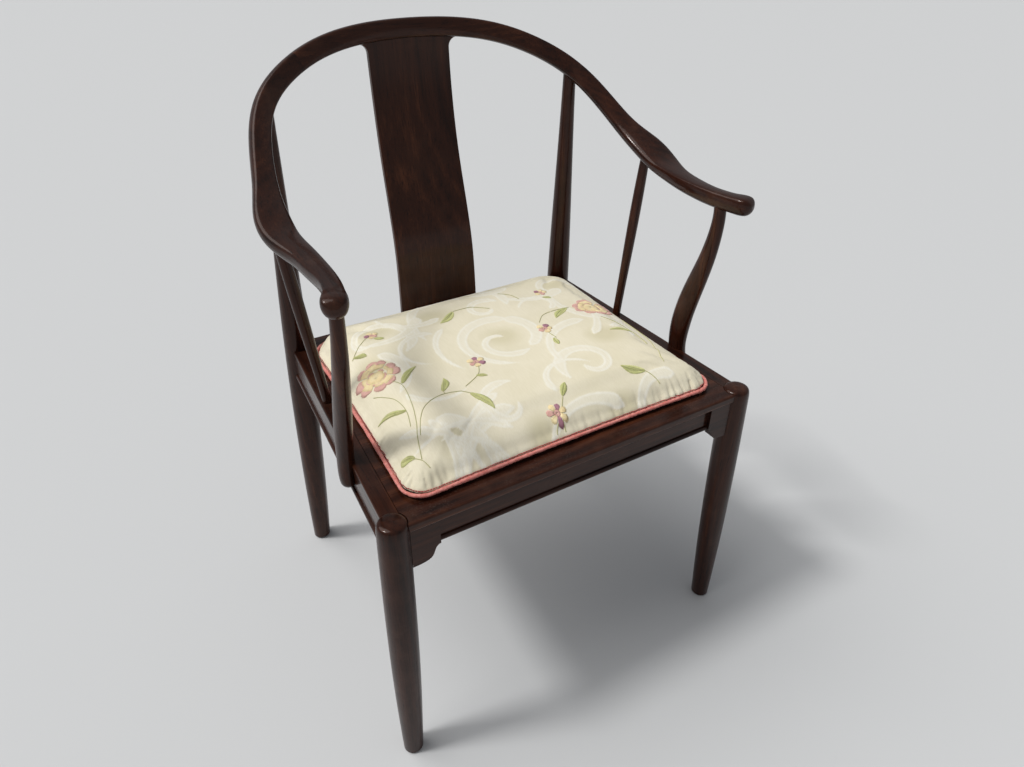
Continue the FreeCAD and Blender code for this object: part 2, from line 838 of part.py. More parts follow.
def splat_foot_tenon(growth):
    return splat_tongue(seat_height - splat_tenon_depth - growth, seat_height + splat_tenon_depth,
                        splat_foot_back, growth)


def splat_head_tenon(growth):
    top = overall_height - bow_width
    back = splat_foot_back + splat_lean
    return splat_tongue(top - splat_tenon_depth, top + splat_tenon_depth + growth, back, growth)


# Cushion and its piping. It fills the seat between the spindles and up to the splat, less a gap to each.

cushion_front_half_width = spindle_ends()[0].x - spindle_radius - cushion_spindle_gap
cushion_rear_half_width = cushion_front_half_width - cushion_rear_taper
cushion_depth = splat_foot_back - splat_thickness / 2 - cushion_splat_gap - cushion_front_back


def cushion_plan(inset, z):
    # A four-cornered outline whose sides draw in a little between round corners.
    front_y = cushion_front_back - front_feet_to_middle + inset
    rear_y = cushion_front_back + cushion_depth - front_feet_to_middle - inset
    front_x = cushion_front_half_width - inset
    rear_x = cushion_rear_half_width - inset
    corners = [Vector(-front_x, front_y, z), Vector(front_x, front_y, z), Vector(rear_x, rear_y, z),
               Vector(-rear_x, rear_y, z)]
    shrink = 1 - inset / (cushion_depth / 2)
    draw = cushion_side_draw_share * shrink
    bow_angle = 2 * math.atan(2 * draw)
    radii = [cushion_front_corner, cushion_front_corner, cushion_rear_corner, cushion_rear_corner]
    radii = [radius * shrink + inset * cushion_corner_swell_share for radius in radii]
    middle = Vector(0, (front_y + rear_y) / 2, z)
    bends = []
    for i, corner in enumerate(corners):
        before = unit(corners[i - 1] - corner)
        after = unit(corners[(i + 1) % 4] - corner)
        half = math.acos(before.dot(after)) / 2
        step = radii[i] / math.tan(half)
        first = corner + before * step
        last = corner + after * step
        # The corner turns further than its sides meet, so that it runs smoothly into their arcs.
        half_turn = math.pi / 2 - half + bow_angle
        rise = (last - first).Length / 2 * math.tan(half_turn / 2)
        chord_middle = (first + last) / 2
        bends.append((first, chord_middle + unit(corner - chord_middle) * rise, last))
    edges = []
    for i in range(4):
        first, bend, last = bends[i]
        following = bends[(i + 1) % 4][0]
        edges.append(Part.Arc(first, bend, last).toShape())
        side_middle = (last + following) / 2
        side = following - last
        inwards = unit(Vector(-side.y, side.x, 0)) * (draw * side.Length)
        if inwards.dot(middle - side_middle) < 0:
            inwards = inwards * -1
        edges.append(Part.Arc(last, side_middle + inwards, following).toShape())
    return Part.Wire(edges)


cushion_bottom = seat_height + seat_clearance


def cushion_outline(share, height):
    # The cushion lies inside its piping by the piping's radius and a small clearance.
    return cushion_plan(piping_radius + seat_clearance + share * cushion_depth / 2, cushion_bottom + height)


def cushion():
    crown = cushion_height - cushion_seam_height
    upper = []
    for angle in cushion_crown_angles:
        inset_share = 1 - math.sqrt(math.cos(math.radians(angle)))
        height = cushion_seam_height + crown * math.sin(math.radians(angle))
        upper.append(cushion_outline(inset_share, height))
    lower = []
    for height_share, inset_share in cushion_underside_shares:
        lower.append(cushion_outline(inset_share, cushion_seam_height * height_share))
    top = Part.makeLoft(upper, True, False)
    bottom = Part.makeLoft(lower, True, False)
    return top.fuse(bottom)


def cushion_piping():
    path = cushion_plan(0, cushion_bottom + cushion_seam_height)
    first = path.Edges[0]
    start = first.valueAt(first.FirstParameter)
    direction = first.tangentAt(first.FirstParameter)
    ring = Part.Wire([Part.makeCircle(piping_radius, start, direction)])
    return path.makePipeShell([ring], True, False)


# Assembly

def bow_pieces(half):
    beyond = beyond_joint()
    arm = largest(half.common(beyond))
    crest = largest(half.cut(beyond)).cut(splat_head_tenon(joint_clearance))
    for start, end in joint_dowels():
        hole = rod(start, end, crest_joint_dowel_radius + joint_clearance)
        arm = arm.cut(hole)
        crest = crest.cut(hole)
    arm = arm.cut(post_tenon(joint_clearance)).cut(spindle_head_hole()).cut(gooseneck_tenon(joint_clearance))
    return largest(crest.fuse(mirrored(crest))), arm


def pair(name, right_shape):
    return {name + "_right": right_shape, name + "_left": mirrored(right_shape)}


def finished_front_leg():
    leg = front_leg()
    start, direction = front_rail_tenon()
    leg = leg.cut(grown_tenon(start, direction, tenon_length))
    start, direction = side_rail_tenons()[0]
    leg = leg.cut(grown_tenon(start, direction, tenon_length))
    start, end = block_screw_line(*block_corners()["front"])
    return leg.cut(screw(start, end, joint_clearance)).cut(glide_nail(front_foot))


def finished_rear_post(bow):
    post = rear_post()
    post = lower_piece(post.cut(bow.translated(Vector(0, 0, -scribe_gap)))).fuse(post_tenon())
    start, direction = rear_rail_tenon()
    post = post.cut(grown_tenon(start, direction, tenon_length))
    start, direction = side_rail_tenons()[1]
    post = post.cut(grown_tenon(start, direction, tenon_length))
    start, end = block_screw_line(*block_corners()["rear"])
    return post.cut(screw(start, end, joint_clearance)).cut(glide_nail(rear_foot))


def screws():
    lines = [block_screw_line(*block_place) for block_place in block_corners().values()]
    block_screws = [screw(start, end, 0) for start, end in lines]
    neck_screws = [screw(start, end, 0) for start, end in gooseneck_screw_lines()]
    block_screws += [mirrored(one) for one in block_screws]
    neck_screws += [mirrored(one) for one in neck_screws]
    return {"corner_block_screws": Part.makeCompound(block_screws),
            "gooseneck_screws": Part.makeCompound(neck_screws)}


def build():
    nodes = {}
    bow = bow_half()
    crest, arm = bow_pieces(bow)
    nodes["crest_rail"] = crest
    nodes.update(pair("arm", arm))
    dowels = [rod(start, end, crest_joint_dowel_radius) for start, end in joint_dowels()]
    nodes["crest_joint_dowels"] = Part.makeCompound(dowels + [mirrored(one) for one in dowels])
    nodes.update(pair("front_leg", finished_front_leg()))
    nodes.update(pair("rear_leg", finished_rear_post(bow)))
    nodes.update(pair("front_glide", glide(front_foot)))
    nodes.update(pair("rear_glide", glide(rear_foot)))
    nodes.update(pair("side_seat_rail", side_rail()))
    nodes["front_seat_rail"] = front_rail()
    nodes["rear_seat_rail"] = rear_rail()
    nodes["seat_panel"] = seat_panel()
    nodes.update(pair("corner_bracket", corner_bracket()))
    for name, block_place in block_corners().items():
        nodes.update(pair(name + "_corner_block", corner_block(*block_place)))
    nodes.update(screws())
    nodes.update(pair("gooseneck", finished_gooseneck(bow)))
    nodes.update(pair("side_spindle", spindle(bow)))
    nodes["back_splat"] = splat(bow.fuse(mirrored(bow)))
    nodes["seat_cushion"] = cushion()
    nodes["cushion_piping"] = cushion_piping()
    return nodes


os.makedirs("parts", exist_ok=True)
for node, shape in build().items():
    shape.exportStep("parts/" + node + ".step")
    box = shape.BoundBox
    corners = [box.XMin, box.YMin, box.ZMin, box.XMax, box.YMax, box.ZMax]
    print(node, len(shape.Solids), "solids, valid", shape.isValid(), [round(value, 1) for value in corners])
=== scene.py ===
import math
import random

import bmesh
import bpy
import numpy as np
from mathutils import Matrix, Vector, noise
from mathutils.bvhtree import BVHTree
from mathutils.kdtree import KDTree


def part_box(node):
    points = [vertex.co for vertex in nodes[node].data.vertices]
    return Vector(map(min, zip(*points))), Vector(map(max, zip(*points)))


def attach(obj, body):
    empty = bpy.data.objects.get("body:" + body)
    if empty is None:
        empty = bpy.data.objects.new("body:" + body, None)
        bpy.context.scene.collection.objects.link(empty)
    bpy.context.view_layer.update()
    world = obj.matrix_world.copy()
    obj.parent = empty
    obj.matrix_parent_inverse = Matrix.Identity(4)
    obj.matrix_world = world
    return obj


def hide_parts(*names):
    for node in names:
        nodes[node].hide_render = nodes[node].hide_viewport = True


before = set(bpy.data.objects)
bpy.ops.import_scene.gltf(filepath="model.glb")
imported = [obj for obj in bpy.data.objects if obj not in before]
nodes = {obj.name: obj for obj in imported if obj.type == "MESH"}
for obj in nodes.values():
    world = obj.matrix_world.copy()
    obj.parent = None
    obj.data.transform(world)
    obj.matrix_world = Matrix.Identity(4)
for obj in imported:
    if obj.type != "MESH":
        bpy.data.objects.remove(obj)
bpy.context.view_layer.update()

scene = bpy.context.scene


# The view. The camera stands in front of the left arm, a little above the crest, and looks down at the seat.
# One plain pale floor fills the picture. A broad soft window lamp stands high behind the left arm, with a
# smaller one beside it for crisp glints on the lacquer, and an even sky fills the shadows.

floor_colour = (0.60, 0.61, 0.62, 1.0)
floor_half_size = 12.0
floor_roughness = 0.85
floor_specular = 0.2
camera_place = (-0.3997, -0.7323, 0.9360)
camera_tilt = 55.84
camera_turn = -30.34
camera_lens = 24.65
camera_sensor = 36.0
sky_colour = (0.95, 0.97, 1.0, 1.0)
sky_strength = 0.34
backdrop_colour = (0.66, 0.67, 0.68, 1.0)
window_towards = (-0.44, 0.30, 0.85)
window_energy = 1.35
window_spread = 50
window_colour = (1.0, 0.985, 0.96)
glint_towards = (-0.52, 0.16, 0.84)
glint_energy = 1.4
glint_spread = 10

scene.view_settings.view_transform = "Standard"
random.seed(7)

camera_data = bpy.data.cameras.new("camera")
camera_data.sensor_width = camera_sensor
camera_data.lens = camera_lens
camera = bpy.data.objects.new("camera", camera_data)
camera.location = camera_place
camera.rotation_euler = (math.radians(camera_tilt), 0.0, math.radians(camera_turn))
scene.collection.objects.link(camera)
scene.camera = camera

floor_mesh = bpy.data.meshes.new("floor")
floor_bm = bmesh.new()
bmesh.ops.create_grid(floor_bm, x_segments=1, y_segments=1, size=floor_half_size)
floor_bm.to_mesh(floor_mesh)
floor_bm.free()
floor = bpy.data.objects.new("floor", floor_mesh)
scene.collection.objects.link(floor)
floor_material = bpy.data.materials.new("floor")
floor_material.use_nodes = True
floor_shader = floor_material.node_tree.nodes["Principled BSDF"]
floor_shader.inputs["Base Color"].default_value = floor_colour
floor_shader.inputs["Roughness"].default_value = floor_roughness
floor_shader.inputs["Specular IOR Level"].default_value = floor_specular
floor_mesh.materials.append(floor_material)

world = bpy.data.worlds.new("studio")
scene.world = world
world.use_nodes = True
sky = world.node_tree.nodes["Background"]
sky.inputs["Color"].default_value = sky_colour
sky.inputs["Strength"].default_value = sky_strength
backdrop = world.node_tree.nodes.new("ShaderNodeBackground")
backdrop.inputs["Color"].default_value = backdrop_colour
ray = world.node_tree.nodes.new("ShaderNodeLightPath")
seen = world.node_tree.nodes.new("ShaderNodeMixShader")
world.node_tree.links.new(ray.outputs["Is Camera Ray"], seen.inputs[0])
world.node_tree.links.new(sky.outputs[0], seen.inputs[1])
world.node_tree.links.new(backdrop.outputs[0], seen.inputs[2])
world.node_tree.links.new(seen.outputs[0], world.node_tree.nodes["World Output"].inputs["Surface"])

for lamp_name, towards, energy, spread in (("window", window_towards, window_energy, window_spread),
                                           ("glint", glint_towards, glint_energy, glint_spread)):
    lamp_data = bpy.data.lights.new(lamp_name, "SUN")
    lamp_data.energy = energy
    lamp_data.angle = math.radians(spread)
    lamp_data.color = window_colour
    lamp = bpy.data.objects.new(lamp_name, lamp_data)
    lamp.rotation_euler = Vector(towards).to_track_quat("Z", "Y").to_euler()
    scene.collection.objects.link(lamp)


# The four legs. Each is one piece of dense dark hardwood, turned on a lathe with the grain along it. The
# front pair ends in a low dome at the seat, and the rear pair runs on up to carry the bow. They're stained,
# lacquered to a satin sheen, and rubbed by hands and feet.

wood_deep = (0.0075, 0.0024, 0.0017, 1.0)
wood_body = (0.0270, 0.0078, 0.0040, 1.0)
wood_light = (0.0800, 0.0260, 0.0115, 1.0)
wood_rubbed = (0.0720, 0.0310, 0.0190, 1.0)
wood_dust = (0.1500, 0.1250, 0.1100, 1.0)
lacquer_weight = 0.40
lacquer_roughness = 0.12
sheen_tint = (1.0, 0.42, 0.26, 1.0)
wood_specular = 0.10
wood_rough_dark = 0.40
wood_rough_light = 0.29
rubbed_share = 0.45
rubbed_polish = 0.07
dust_roughness = 0.4
grain_bump = 0.22
grain_depth = 0.0005
# How far the grain is drawn out along the wood, and how many to a metre each of its marks is.
fibre_squash = 0.045
sweep_squash = 0.22
fibre_scale = 520.0
streak_scale = 60.0
cloud_scale = 9.0
bend_scale = 6.0
bend_reach = 0.055
ring_scale = 34.0
streak_share = 0.9
tone_offset = 0.19
figure_share = 0.42
cloud_share = 0.5
fibre_share = 0.7
pore_share = 0.3
patch_scale = 17.0
speck_scale = 420.0
film_scale = 26.0
upright = (0.0, 0.0, 0.0)


def node_in(tree, kind, sockets, **settings):
    """A shader node with its settings, and its sockets linked or given a value."""
    node = tree.nodes.new("ShaderNode" + kind)
    for key, value in settings.items():
        setattr(node, key, value)
    for key, value in sockets.items():
        if isinstance(value, bpy.types.NodeSocket):
            tree.links.new(value, node.inputs[key])
        else:
            node.inputs[key].default_value = value
    return node


def maths(tree, operation, first, second=0.0):
    """What a math node gives."""
    return node_in(tree, "Math", {0: first, 1: second}, operation=operation).outputs[0]


def noise_in(tree, place, scale, detail=3.0, roughness=0.5):
    """What a noise texture gives at a place."""
    return node_in(tree, "TexNoise", {"Vector": place, "Scale": scale, "Detail": detail,
                                      "Roughness": roughness}).outputs[0]


def ramped(tree, value, low, high, to_low=0.0, to_high=1.0):
    """A smooth step of a value between two limits."""
    return node_in(tree, "MapRange", {"Value": value, "From Min": low, "From Max": high, "To Min": to_low,
                                      "To Max": to_high}, interpolation_type="SMOOTHSTEP").outputs[0]


def blended(tree, factor, first, second):
    """A mix of two colours."""
    return node_in(tree, "Mix", {0: factor, 6: first, 7: second}, data_type="RGBA").outputs[2]


def new_group(name, inputs, outputs):
    """An empty node group with these sockets, and what its inputs give."""
    group = bpy.data.node_groups.new(name, "ShaderNodeTree")
    for label, kind in inputs:
        group.interface.new_socket(label, in_out="INPUT", socket_type="NodeSocket" + kind)
    for label in outputs:
        group.interface.new_socket(label, in_out="OUTPUT", socket_type="NodeSocketFloat")
    return group, group.nodes.new("NodeGroupInput").outputs


def close_group(group, results):
    """Links what the group puts out."""
    sink = group.nodes.new("NodeGroupOutput")
    for label, value in results.items():
        group.links.new(value, sink.inputs[label])


def shader_of(material, colour, height, strength, distance, constants, **linked):
    """Fills in the material's own shader: colour, bump from a height, constants, and linked sockets."""
    tree = material.node_tree
    shader = tree.nodes["Principled BSDF"]
    bump = node_in(tree, "Bump", {"Strength": strength, "Distance": distance, "Height": height})
    tree.links.new(bump.outputs[0], shader.inputs["Normal"])
    tree.links.new(colour, shader.inputs["Base Color"])
    for label, value in linked.items():
        tree.links.new(value, shader.inputs[label])
    for label, value in constants.items():
        shader.inputs[label].default_value = value


def new_material(name):
    """A material with nodes, its tree, and the places on the object that carries it."""
    material = bpy.data.materials.new(name)
    material.use_nodes = True
    tree = material.node_tree
    return material, tree, node_in(tree, "TexCoord", {}).outputs["Object"]


def centred(tree, value, share):
    """A value about one half, brought about zero and scaled."""
    return maths(tree, "MULTIPLY", maths(tree, "SUBTRACT", value, 0.5), share)


tree, given = new_group("sawn_grain", [("Place", "Vector"), ("Figure", "Float")], ["Tone", "Height"])
grain_group = tree
stretched = node_in(tree, "Mapping", {"Vector": given["Place"], "Scale": (1, 1, fibre_squash)}).outputs[0]
swept = node_in(tree, "Mapping", {"Vector": given["Place"], "Scale": (1, 1, sweep_squash)}).outputs[0]
fibres = noise_in(tree, stretched, fibre_scale, 5.0, 0.65)
streaks = noise_in(tree, stretched, streak_scale, 3.0, 0.55)
clouds = noise_in(tree, swept, cloud_scale, 2.0)
bend = node_in(tree, "TexNoise", {"Vector": swept, "Scale": bend_scale, "Detail": 2.0}).outputs["Color"]
bent = node_in(tree, "VectorMath", {0: bend, 3: bend_reach}, operation="SCALE").outputs[0]
shifted = node_in(tree, "VectorMath", {0: given["Place"], 1: bent}, operation="ADD").outputs[0]
rings = node_in(tree, "TexWave", {"Vector": shifted, "Scale": ring_scale, "Distortion": 1.2, "Detail": 2.0,
                                  "Detail Scale": 3.0}, wave_type="RINGS", rings_direction="Z").outputs[1]
figure = maths(tree, "MULTIPLY", rings, given["Figure"])
pores = ramped(tree, fibres, 0.40, 0.33)
tone = maths(tree, "SUBTRACT", maths(tree, "MULTIPLY", streaks, streak_share), tone_offset)
tone = maths(tree, "ADD", tone, maths(tree, "MULTIPLY", figure, figure_share))
tone = maths(tree, "ADD", tone, centred(tree, clouds, cloud_share))
tone = maths(tree, "ADD", tone, centred(tree, fibres, fibre_share))
tone = maths(tree, "SUBTRACT", tone, maths(tree, "MULTIPLY", pores, pore_share))
height = maths(tree, "SUBTRACT", fibres, maths(tree, "MULTIPLY", pores, 0.5))
close_group(tree, {"Tone": tone, "Height": height})

tree, given = new_group("handling_wear", [("Place", "Vector"), ("Normal", "Vector"), ("Amount", "Float")],
                        ["Rubbed", "Dust"])
wear_group = tree
patches = noise_in(tree, given["Place"], patch_scale, 5.0, 0.6)
rubbed = maths(tree, "MULTIPLY", ramped(tree, patches, 0.50, 0.68), given["Amount"])
facing_up = node_in(tree, "SeparateXYZ", {0: given["Normal"]}).outputs[2]
specks = noise_in(tree, given["Place"], speck_scale, 4.0, 0.7)
film = noise_in(tree, given["Place"], film_scale, 3.0)
dust = maths(tree, "MULTIPLY", ramped(tree, facing_up, 0.55, 1.0), ramped(tree, specks, 0.50, 0.72))
dust = maths(tree, "MULTIPLY", dust, ramped(tree, film, 0.38, 0.62))
close_group(tree, {"Rubbed": rubbed, "Dust": dust})


def dark_wood(name, turn, figure, amount, dustiness):
    """Stained and lacquered hardwood with its grain along the turned z axis."""
    material, tree, place = new_material(name)
    turned = node_in(tree, "Mapping", {"Vector": place, "Rotation": turn}).outputs[0]
    facing = node_in(tree, "NewGeometry", {}).outputs["Normal"]
    grain = node_in(tree, "Group", {"Place": turned, "Figure": figure}, node_tree=grain_group)
    wear = node_in(tree, "Group", {"Place": place, "Normal": facing, "Amount": amount}, node_tree=wear_group)
    colour = blended(tree, ramped(tree, grain.outputs["Tone"], 0.0, 0.42), wood_deep, wood_body)
    colour = blended(tree, ramped(tree, grain.outputs["Tone"], 0.38, 0.85), colour, wood_light)
    colour = blended(tree, maths(tree, "MULTIPLY", wear.outputs["Rubbed"], rubbed_share), colour, wood_rubbed)
    dust_share = maths(tree, "MULTIPLY", wear.outputs["Dust"], dustiness)
    colour = blended(tree, dust_share, colour, wood_dust)
    rough = ramped(tree, grain.outputs["Tone"], 0.0, 0.9, wood_rough_dark, wood_rough_light)
    rough = maths(tree, "SUBTRACT", rough, maths(tree, "MULTIPLY", wear.outputs["Rubbed"], rubbed_polish))
    rough = maths(tree, "ADD", rough, maths(tree, "MULTIPLY", dust_share, dust_roughness))
    shader_of(material, colour, grain.outputs["Height"], grain_bump, grain_depth,
              {"Specular IOR Level": wood_specular, "Specular Tint": sheen_tint,
               "Coat Weight": lacquer_weight, "Coat Roughness": lacquer_roughness}, Roughness=rough)
    return material


def finish(material, *names):
    """The CAD pieces of these names take the material in their own slots."""
    for name in names:
        nodes[name].data.materials.clear()
        nodes[name].data.materials.append(material)


turned_wood = dark_wood("turned_wood", upright, 0.35, 0.5, 0.10)
finish(turned_wood, "front_leg_right", "front_leg_left", "rear_leg_right", "rear_leg_left")


# The glides under the feet. Each is a small black disc moulded in hard plastic with a stem, pushed up into a
# hole in the foot, so that the end grain stays off a damp floor. The moulding leaves a fine matt texture.

glide_colour = (0.020, 0.020, 0.021, 1.0)
glide_scuffed = (0.060, 0.058, 0.056, 1.0)
glide_scuff_scale = 160.0
glide_texture_scale = 2600.0

moulded, tree, place = new_material("moulded_plastic")
scuffs = ramped(tree, noise_in(tree, place, glide_scuff_scale, 4.0, 0.7), 0.5, 0.7)
shader_of(moulded, blended(tree, scuffs, glide_colour, glide_scuffed),
          noise_in(tree, place, glide_texture_scale, 2.0), 0.3, 0.0002, {"Specular IOR Level": 0.4},
          Roughness=ramped(tree, scuffs, 0.0, 1.0, 0.45, 0.62))
finish(moulded, "front_glide_right", "front_glide_left", "rear_glide_right", "rear_glide_left")


# The four seat rails. They're sawn and planed from the same hardwood as the legs, with the grain along each,
# and tenoned and glued into them. A bead is cut along the lower edge of each, where the lacquer wears first.

along_x = (0.0, math.radians(-90), 0.0)
along_y = (math.radians(90), 0.0, 0.0)

cross_wood = dark_wood("cross_rail_wood", along_x, 0.45, 0.45, 0.12)
side_wood = dark_wood("side_rail_wood", along_y, 0.45, 0.55, 0.14)
finish(cross_wood, "front_seat_rail", "rear_seat_rail")
finish(side_wood, "side_seat_rail_right", "side_seat_rail_left")


# The brackets under the front rail. Each is a small shaped board sawn from thin stock, glued into the corner
# between rail and leg, with its grain along the rail.

bracket_wood = dark_wood("bracket_wood", along_x, 0.3, 0.3, 0.05)
finish(bracket_wood, "corner_bracket_right", "corner_bracket_left")


# The four glue blocks inside the corners, their screws, and the crest's dowels. The blocks are sawn from
# plain unstained hardwood and glued across each corner under the seat. One steel wood screw through each
# pulls it tight to the leg, and others hold the goosenecks.

block_wood_dark = (0.300, 0.170, 0.085, 1.0)
block_wood_light = (0.520, 0.340, 0.190, 1.0)
steel_colour = (0.55, 0.54, 0.52, 1.0)
steel_dull = (0.30, 0.28, 0.26, 1.0)
tarnish_scale = 300.0
scratch_scale = 1500.0

plain_wood, tree, place = new_material("unstained_wood")
turned = node_in(tree, "Mapping", {"Vector": place, "Rotation": along_x}).outputs[0]
grain = node_in(tree, "Group", {"Place": turned, "Figure": 0.5}, node_tree=grain_group)
colour = blended(tree, ramped(tree, grain.outputs["Tone"], 0.0, 0.8), block_wood_dark, block_wood_light)
shader_of(plain_wood, colour, grain.outputs["Height"], 0.4, 0.0006, {"Specular IOR Level": 0.35},
          Roughness=ramped(tree, grain.outputs["Tone"], 0.0, 1.0, 0.75, 0.6))
finish(plain_wood, "front_corner_block_right", "front_corner_block_left", "rear_corner_block_right",
       "rear_corner_block_left", "crest_joint_dowels")

steel, tree, place = new_material("screw_steel")
tarnish = ramped(tree, noise_in(tree, place, tarnish_scale, 5.0, 0.65), 0.42, 0.62)
shader_of(steel, blended(tree, tarnish, steel_colour, steel_dull),
          noise_in(tree, place, scratch_scale, 3.0), 0.2, 0.0002, {"Metallic": 1.0},
          Roughness=ramped(tree, tarnish, 0.0, 1.0, 0.28, 0.5))
finish(steel, "corner_block_screws", "gooseneck_screws")


# The seat panel. It's one wide board of the same hardwood, planed flat, notched round the front legs and let
# into the rails, with its broad plain-sawn figure across the seat. It gathers a little dust beside the
# cushion.

panel_wood = dark_wood("seat_panel_wood", along_x, 0.8, 0.7, 0.22)
finish(panel_wood, "seat_panel")


# The goosenecks and side spindles. The goosenecks are the curved front arm posts, band-sawn from a board and
# rounded by hand, then screwed and glued to the side rails. The spindles are thin turned rods between rail
# and arm. On both the grain runs upward.

gooseneck_wood = dark_wood("gooseneck_wood", (0.0, math.radians(6), 0.0), 0.5, 0.75, 0.10)
spindle_wood = dark_wood("spindle_wood", upright, 0.3, 0.5, 0.08)
finish(gooseneck_wood, "gooseneck_right", "gooseneck_left")
finish(spindle_wood, "side_spindle_right", "side_spindle_left")


# The back splat. It's one broad board, sawn to an S in side view and smoothed, and its ends are tenoned into
# the crest and the rear rail. It's the piece where the plain-sawn figure shows best, in tall streaks.

splat_wood = dark_wood("splat_wood", (math.radians(2), 0.0, 0.0), 0.40, 0.3, 0.06)
finish(splat_wood, "back_splat")


# The bow. Its crest and two arms are sawn from thick boards in curved lengths, joined end to end, and shaped
# and polished as one rail that swells into the arms' rounded ends. Hands keep the tops of the arms rubbed.

crest_wood = dark_wood("crest_wood", along_x, 0.3, 0.65, 0.16)
arm_right_wood = dark_wood("arm_right_wood", (math.radians(90), 0.0, math.radians(-14)), 0.25, 0.95, 0.10)
arm_left_wood = dark_wood("arm_left_wood", (math.radians(90), 0.0, math.radians(14)), 0.25, 0.95, 0.10)
finish(crest_wood, "crest_rail")
finish(arm_right_wood, "arm_right")
finish(arm_left_wood, "arm_left")


# The cushion's cover. It's cream silk damask, sewn from a domed top panel and a flat base over a soft
# filling. The filling pushes the top up, the seam's stitching gathers it into short puckers, and a
# tone-on-tone pattern of large scrolls is woven into it in satin.

cover_slack = 0.0013
cover_remesh = 0.004
seam_level = 0.4142
seam_spacing = 0.0015
cover_pressure = 4.0
cover_frames = 20
cover_quality = 5
cover_bending = 0.2
cover_fullness = -0.004
cover_reach = 0.0030
shoulder_lift_front = 0.004
shoulder_lift_rear = 0.010
shoulder_inset = 0.021
crown_lift = 0.0035
merge_distance = 0.00002
# The seam draws the cover's edge to the ring of the seam within this band, and the filling bulges it out.
seam_reach = 0.012
seam_bulge = 0.0016
seam_band = 0.0045
seam_pull = 0.8
# How full the fabric is beside the seam, and how far from it.
fullness_reach = 0.045
fullness_floor = 0.12
# Creases to a metre along the seam, how fast they change away from it, and their sharpness.
crease_pitch = 78.0
crease_drift = 12.0
crease_width = 0.17
ripple_pitch = 160.0
ripple_drift = 25.0
crease_base = 0.35
ripple_share = 0.4
loose_floor = 0.22
pucker_height = 0.0031
pucker_depth = 0.018
pucker_start = 0.004
seam_push = 0.0021
# Places on the cover where its fabric is fullest: x and y, spread, and how full.
gathers = [(0.185, -0.190, 0.060, 1.25), (-0.205, -0.110, 0.022, 0.8), (-0.185, -0.185, 0.035, 0.9),
           (0.060, -0.200, 0.050, 0.35), (-0.170, 0.150, 0.050, 0.8), (0.170, 0.150, 0.050, 0.7),
           (-0.040, 0.165, 0.045, 0.7)]
scroll_height = 0.00045
scroll_breadth = 1.7
scroll_steps = 60
taper_rate = 8
taper_tip = 0.25
relief_passes = 2
relief_kept = 0.4
# The pattern shows where the cover faces upward by more than this share, over a soft margin.
top_from = 0.15
top_margin = 0.3
scroll_edge = 1.4
scroll_outline = 1.8
scroll_blend = 1.6
scroll_inside = 0.5
field_edge = 1.6
damask_threads = 7800.0
slub_squash = (1, 0.08, 0.5)
slub_scale = 900.0
crossing_share = 0.35
damask_bump = 0.25
damask_depth = 0.0003
ground_roughness = 0.68
satin_roughness = 0.46
fade_scale = 14.0
fade_share = 0.42
field_share = 0.85
cover_ground = (0.880, 0.815, 0.640, 1.0)
cover_shade = (0.695, 0.635, 0.435, 1.0)
cover_satin = (0.940, 0.908, 0.795, 1.0)
# Each scroll is an arc of a spiral on the cushion's top, in millimetres and degrees: centre, radius at its
# start and end, angle at its start and end, and its half width at its start and end.
scrolls = [
    (5, -22, 66, 50, 255, 60, 2, 6), (5, -22, 50, 40, 60, -60, 6, 4), (-3, -30, 40, 12, -60, -300, 4, 1.5),
    (12, 62, 108, 84, 200, 95, 2, 7), (-2, 70, 84, 58, 95, -10, 7, 3), (20, 62, 30, 9, 30, 330, 4, 1.5),
    (70, -128, 44, 10, 200, -170, 5, 2), (112, -98, 74, 66, 195, 80, 2, 5), (128, -78, 56, 40, 80, -30, 5, 2),
    (150, 70, 52, 14, -40, 250, 5, 2), (118, 118, 70, 60, 215, 300, 2, 6), (196, 10, 84, 60, 150, 230, 2, 5),
    (-150, 62, 56, 16, -60, 230, 5, 2), (-128, 118, 74, 58, 240, 330, 2, 6),
    (-196, -8, 64, 50, -60, 40, 3, 5), (-58, -238, 98, 84, 168, 100, 2, 6),
    (-92, -240, 74, 88, 150, 70, 2, 5),
    (-196, -196, 92, 76, -28, 52, 2, 6), (-230, -160, 88, 76, -48, 20, 2, 4),
    (-24, -214, 118, 96, 172, 118, 2, 4), (-62, -150, 40, 10, 60, 340, 4, 1.5),
    (36, -262, 92, 80, 140, 60, 2, 5), (150, -220, 60, 40, 200, 70, 2, 5), (60, 168, 70, 60, 200, 290, 2, 5),
    (-120, -262, 120, 96, 128, 62, 1, 3), (-250, -236, 132, 120, 2, 62, 1, 4),
    (-150, -250, 84, 70, 96, 20, 1, 3),
    (-10, -18, 82, 76, 215, 130, 1, 3), (60, -10, 96, 84, 20, -48, 1, 4), (-70, 120, 60, 52, 180, 292, 1, 4),
    (-92, 10, 46, 30, 250, 60, 1, 3), (96, 30, 34, 14, 170, -60, 1, 3), (-120, -60, 50, 44, 300, 200, 1, 3),
    (30, -150, 46, 30, 30, 190, 1, 3), (150, -40, 40, 24, 120, -90, 1, 3), (-20, 120, 40, 30, 200, 20, 1, 3),
]
# Each field is a darker ellipse inside a scroll: centre, half width and half depth.
fields = [(3, -18, 34, 30), (-60, 78, 46, 26), (40, 118, 40, 20), (128, -80, 34, 28), (-140, 84, 34, 24),
          (150, 84, 30, 22), (-140, -170, 30, 36), (-40, -196, 26, 30), (76, -196, 30, 20),
          (-176, 10, 22, 30)]


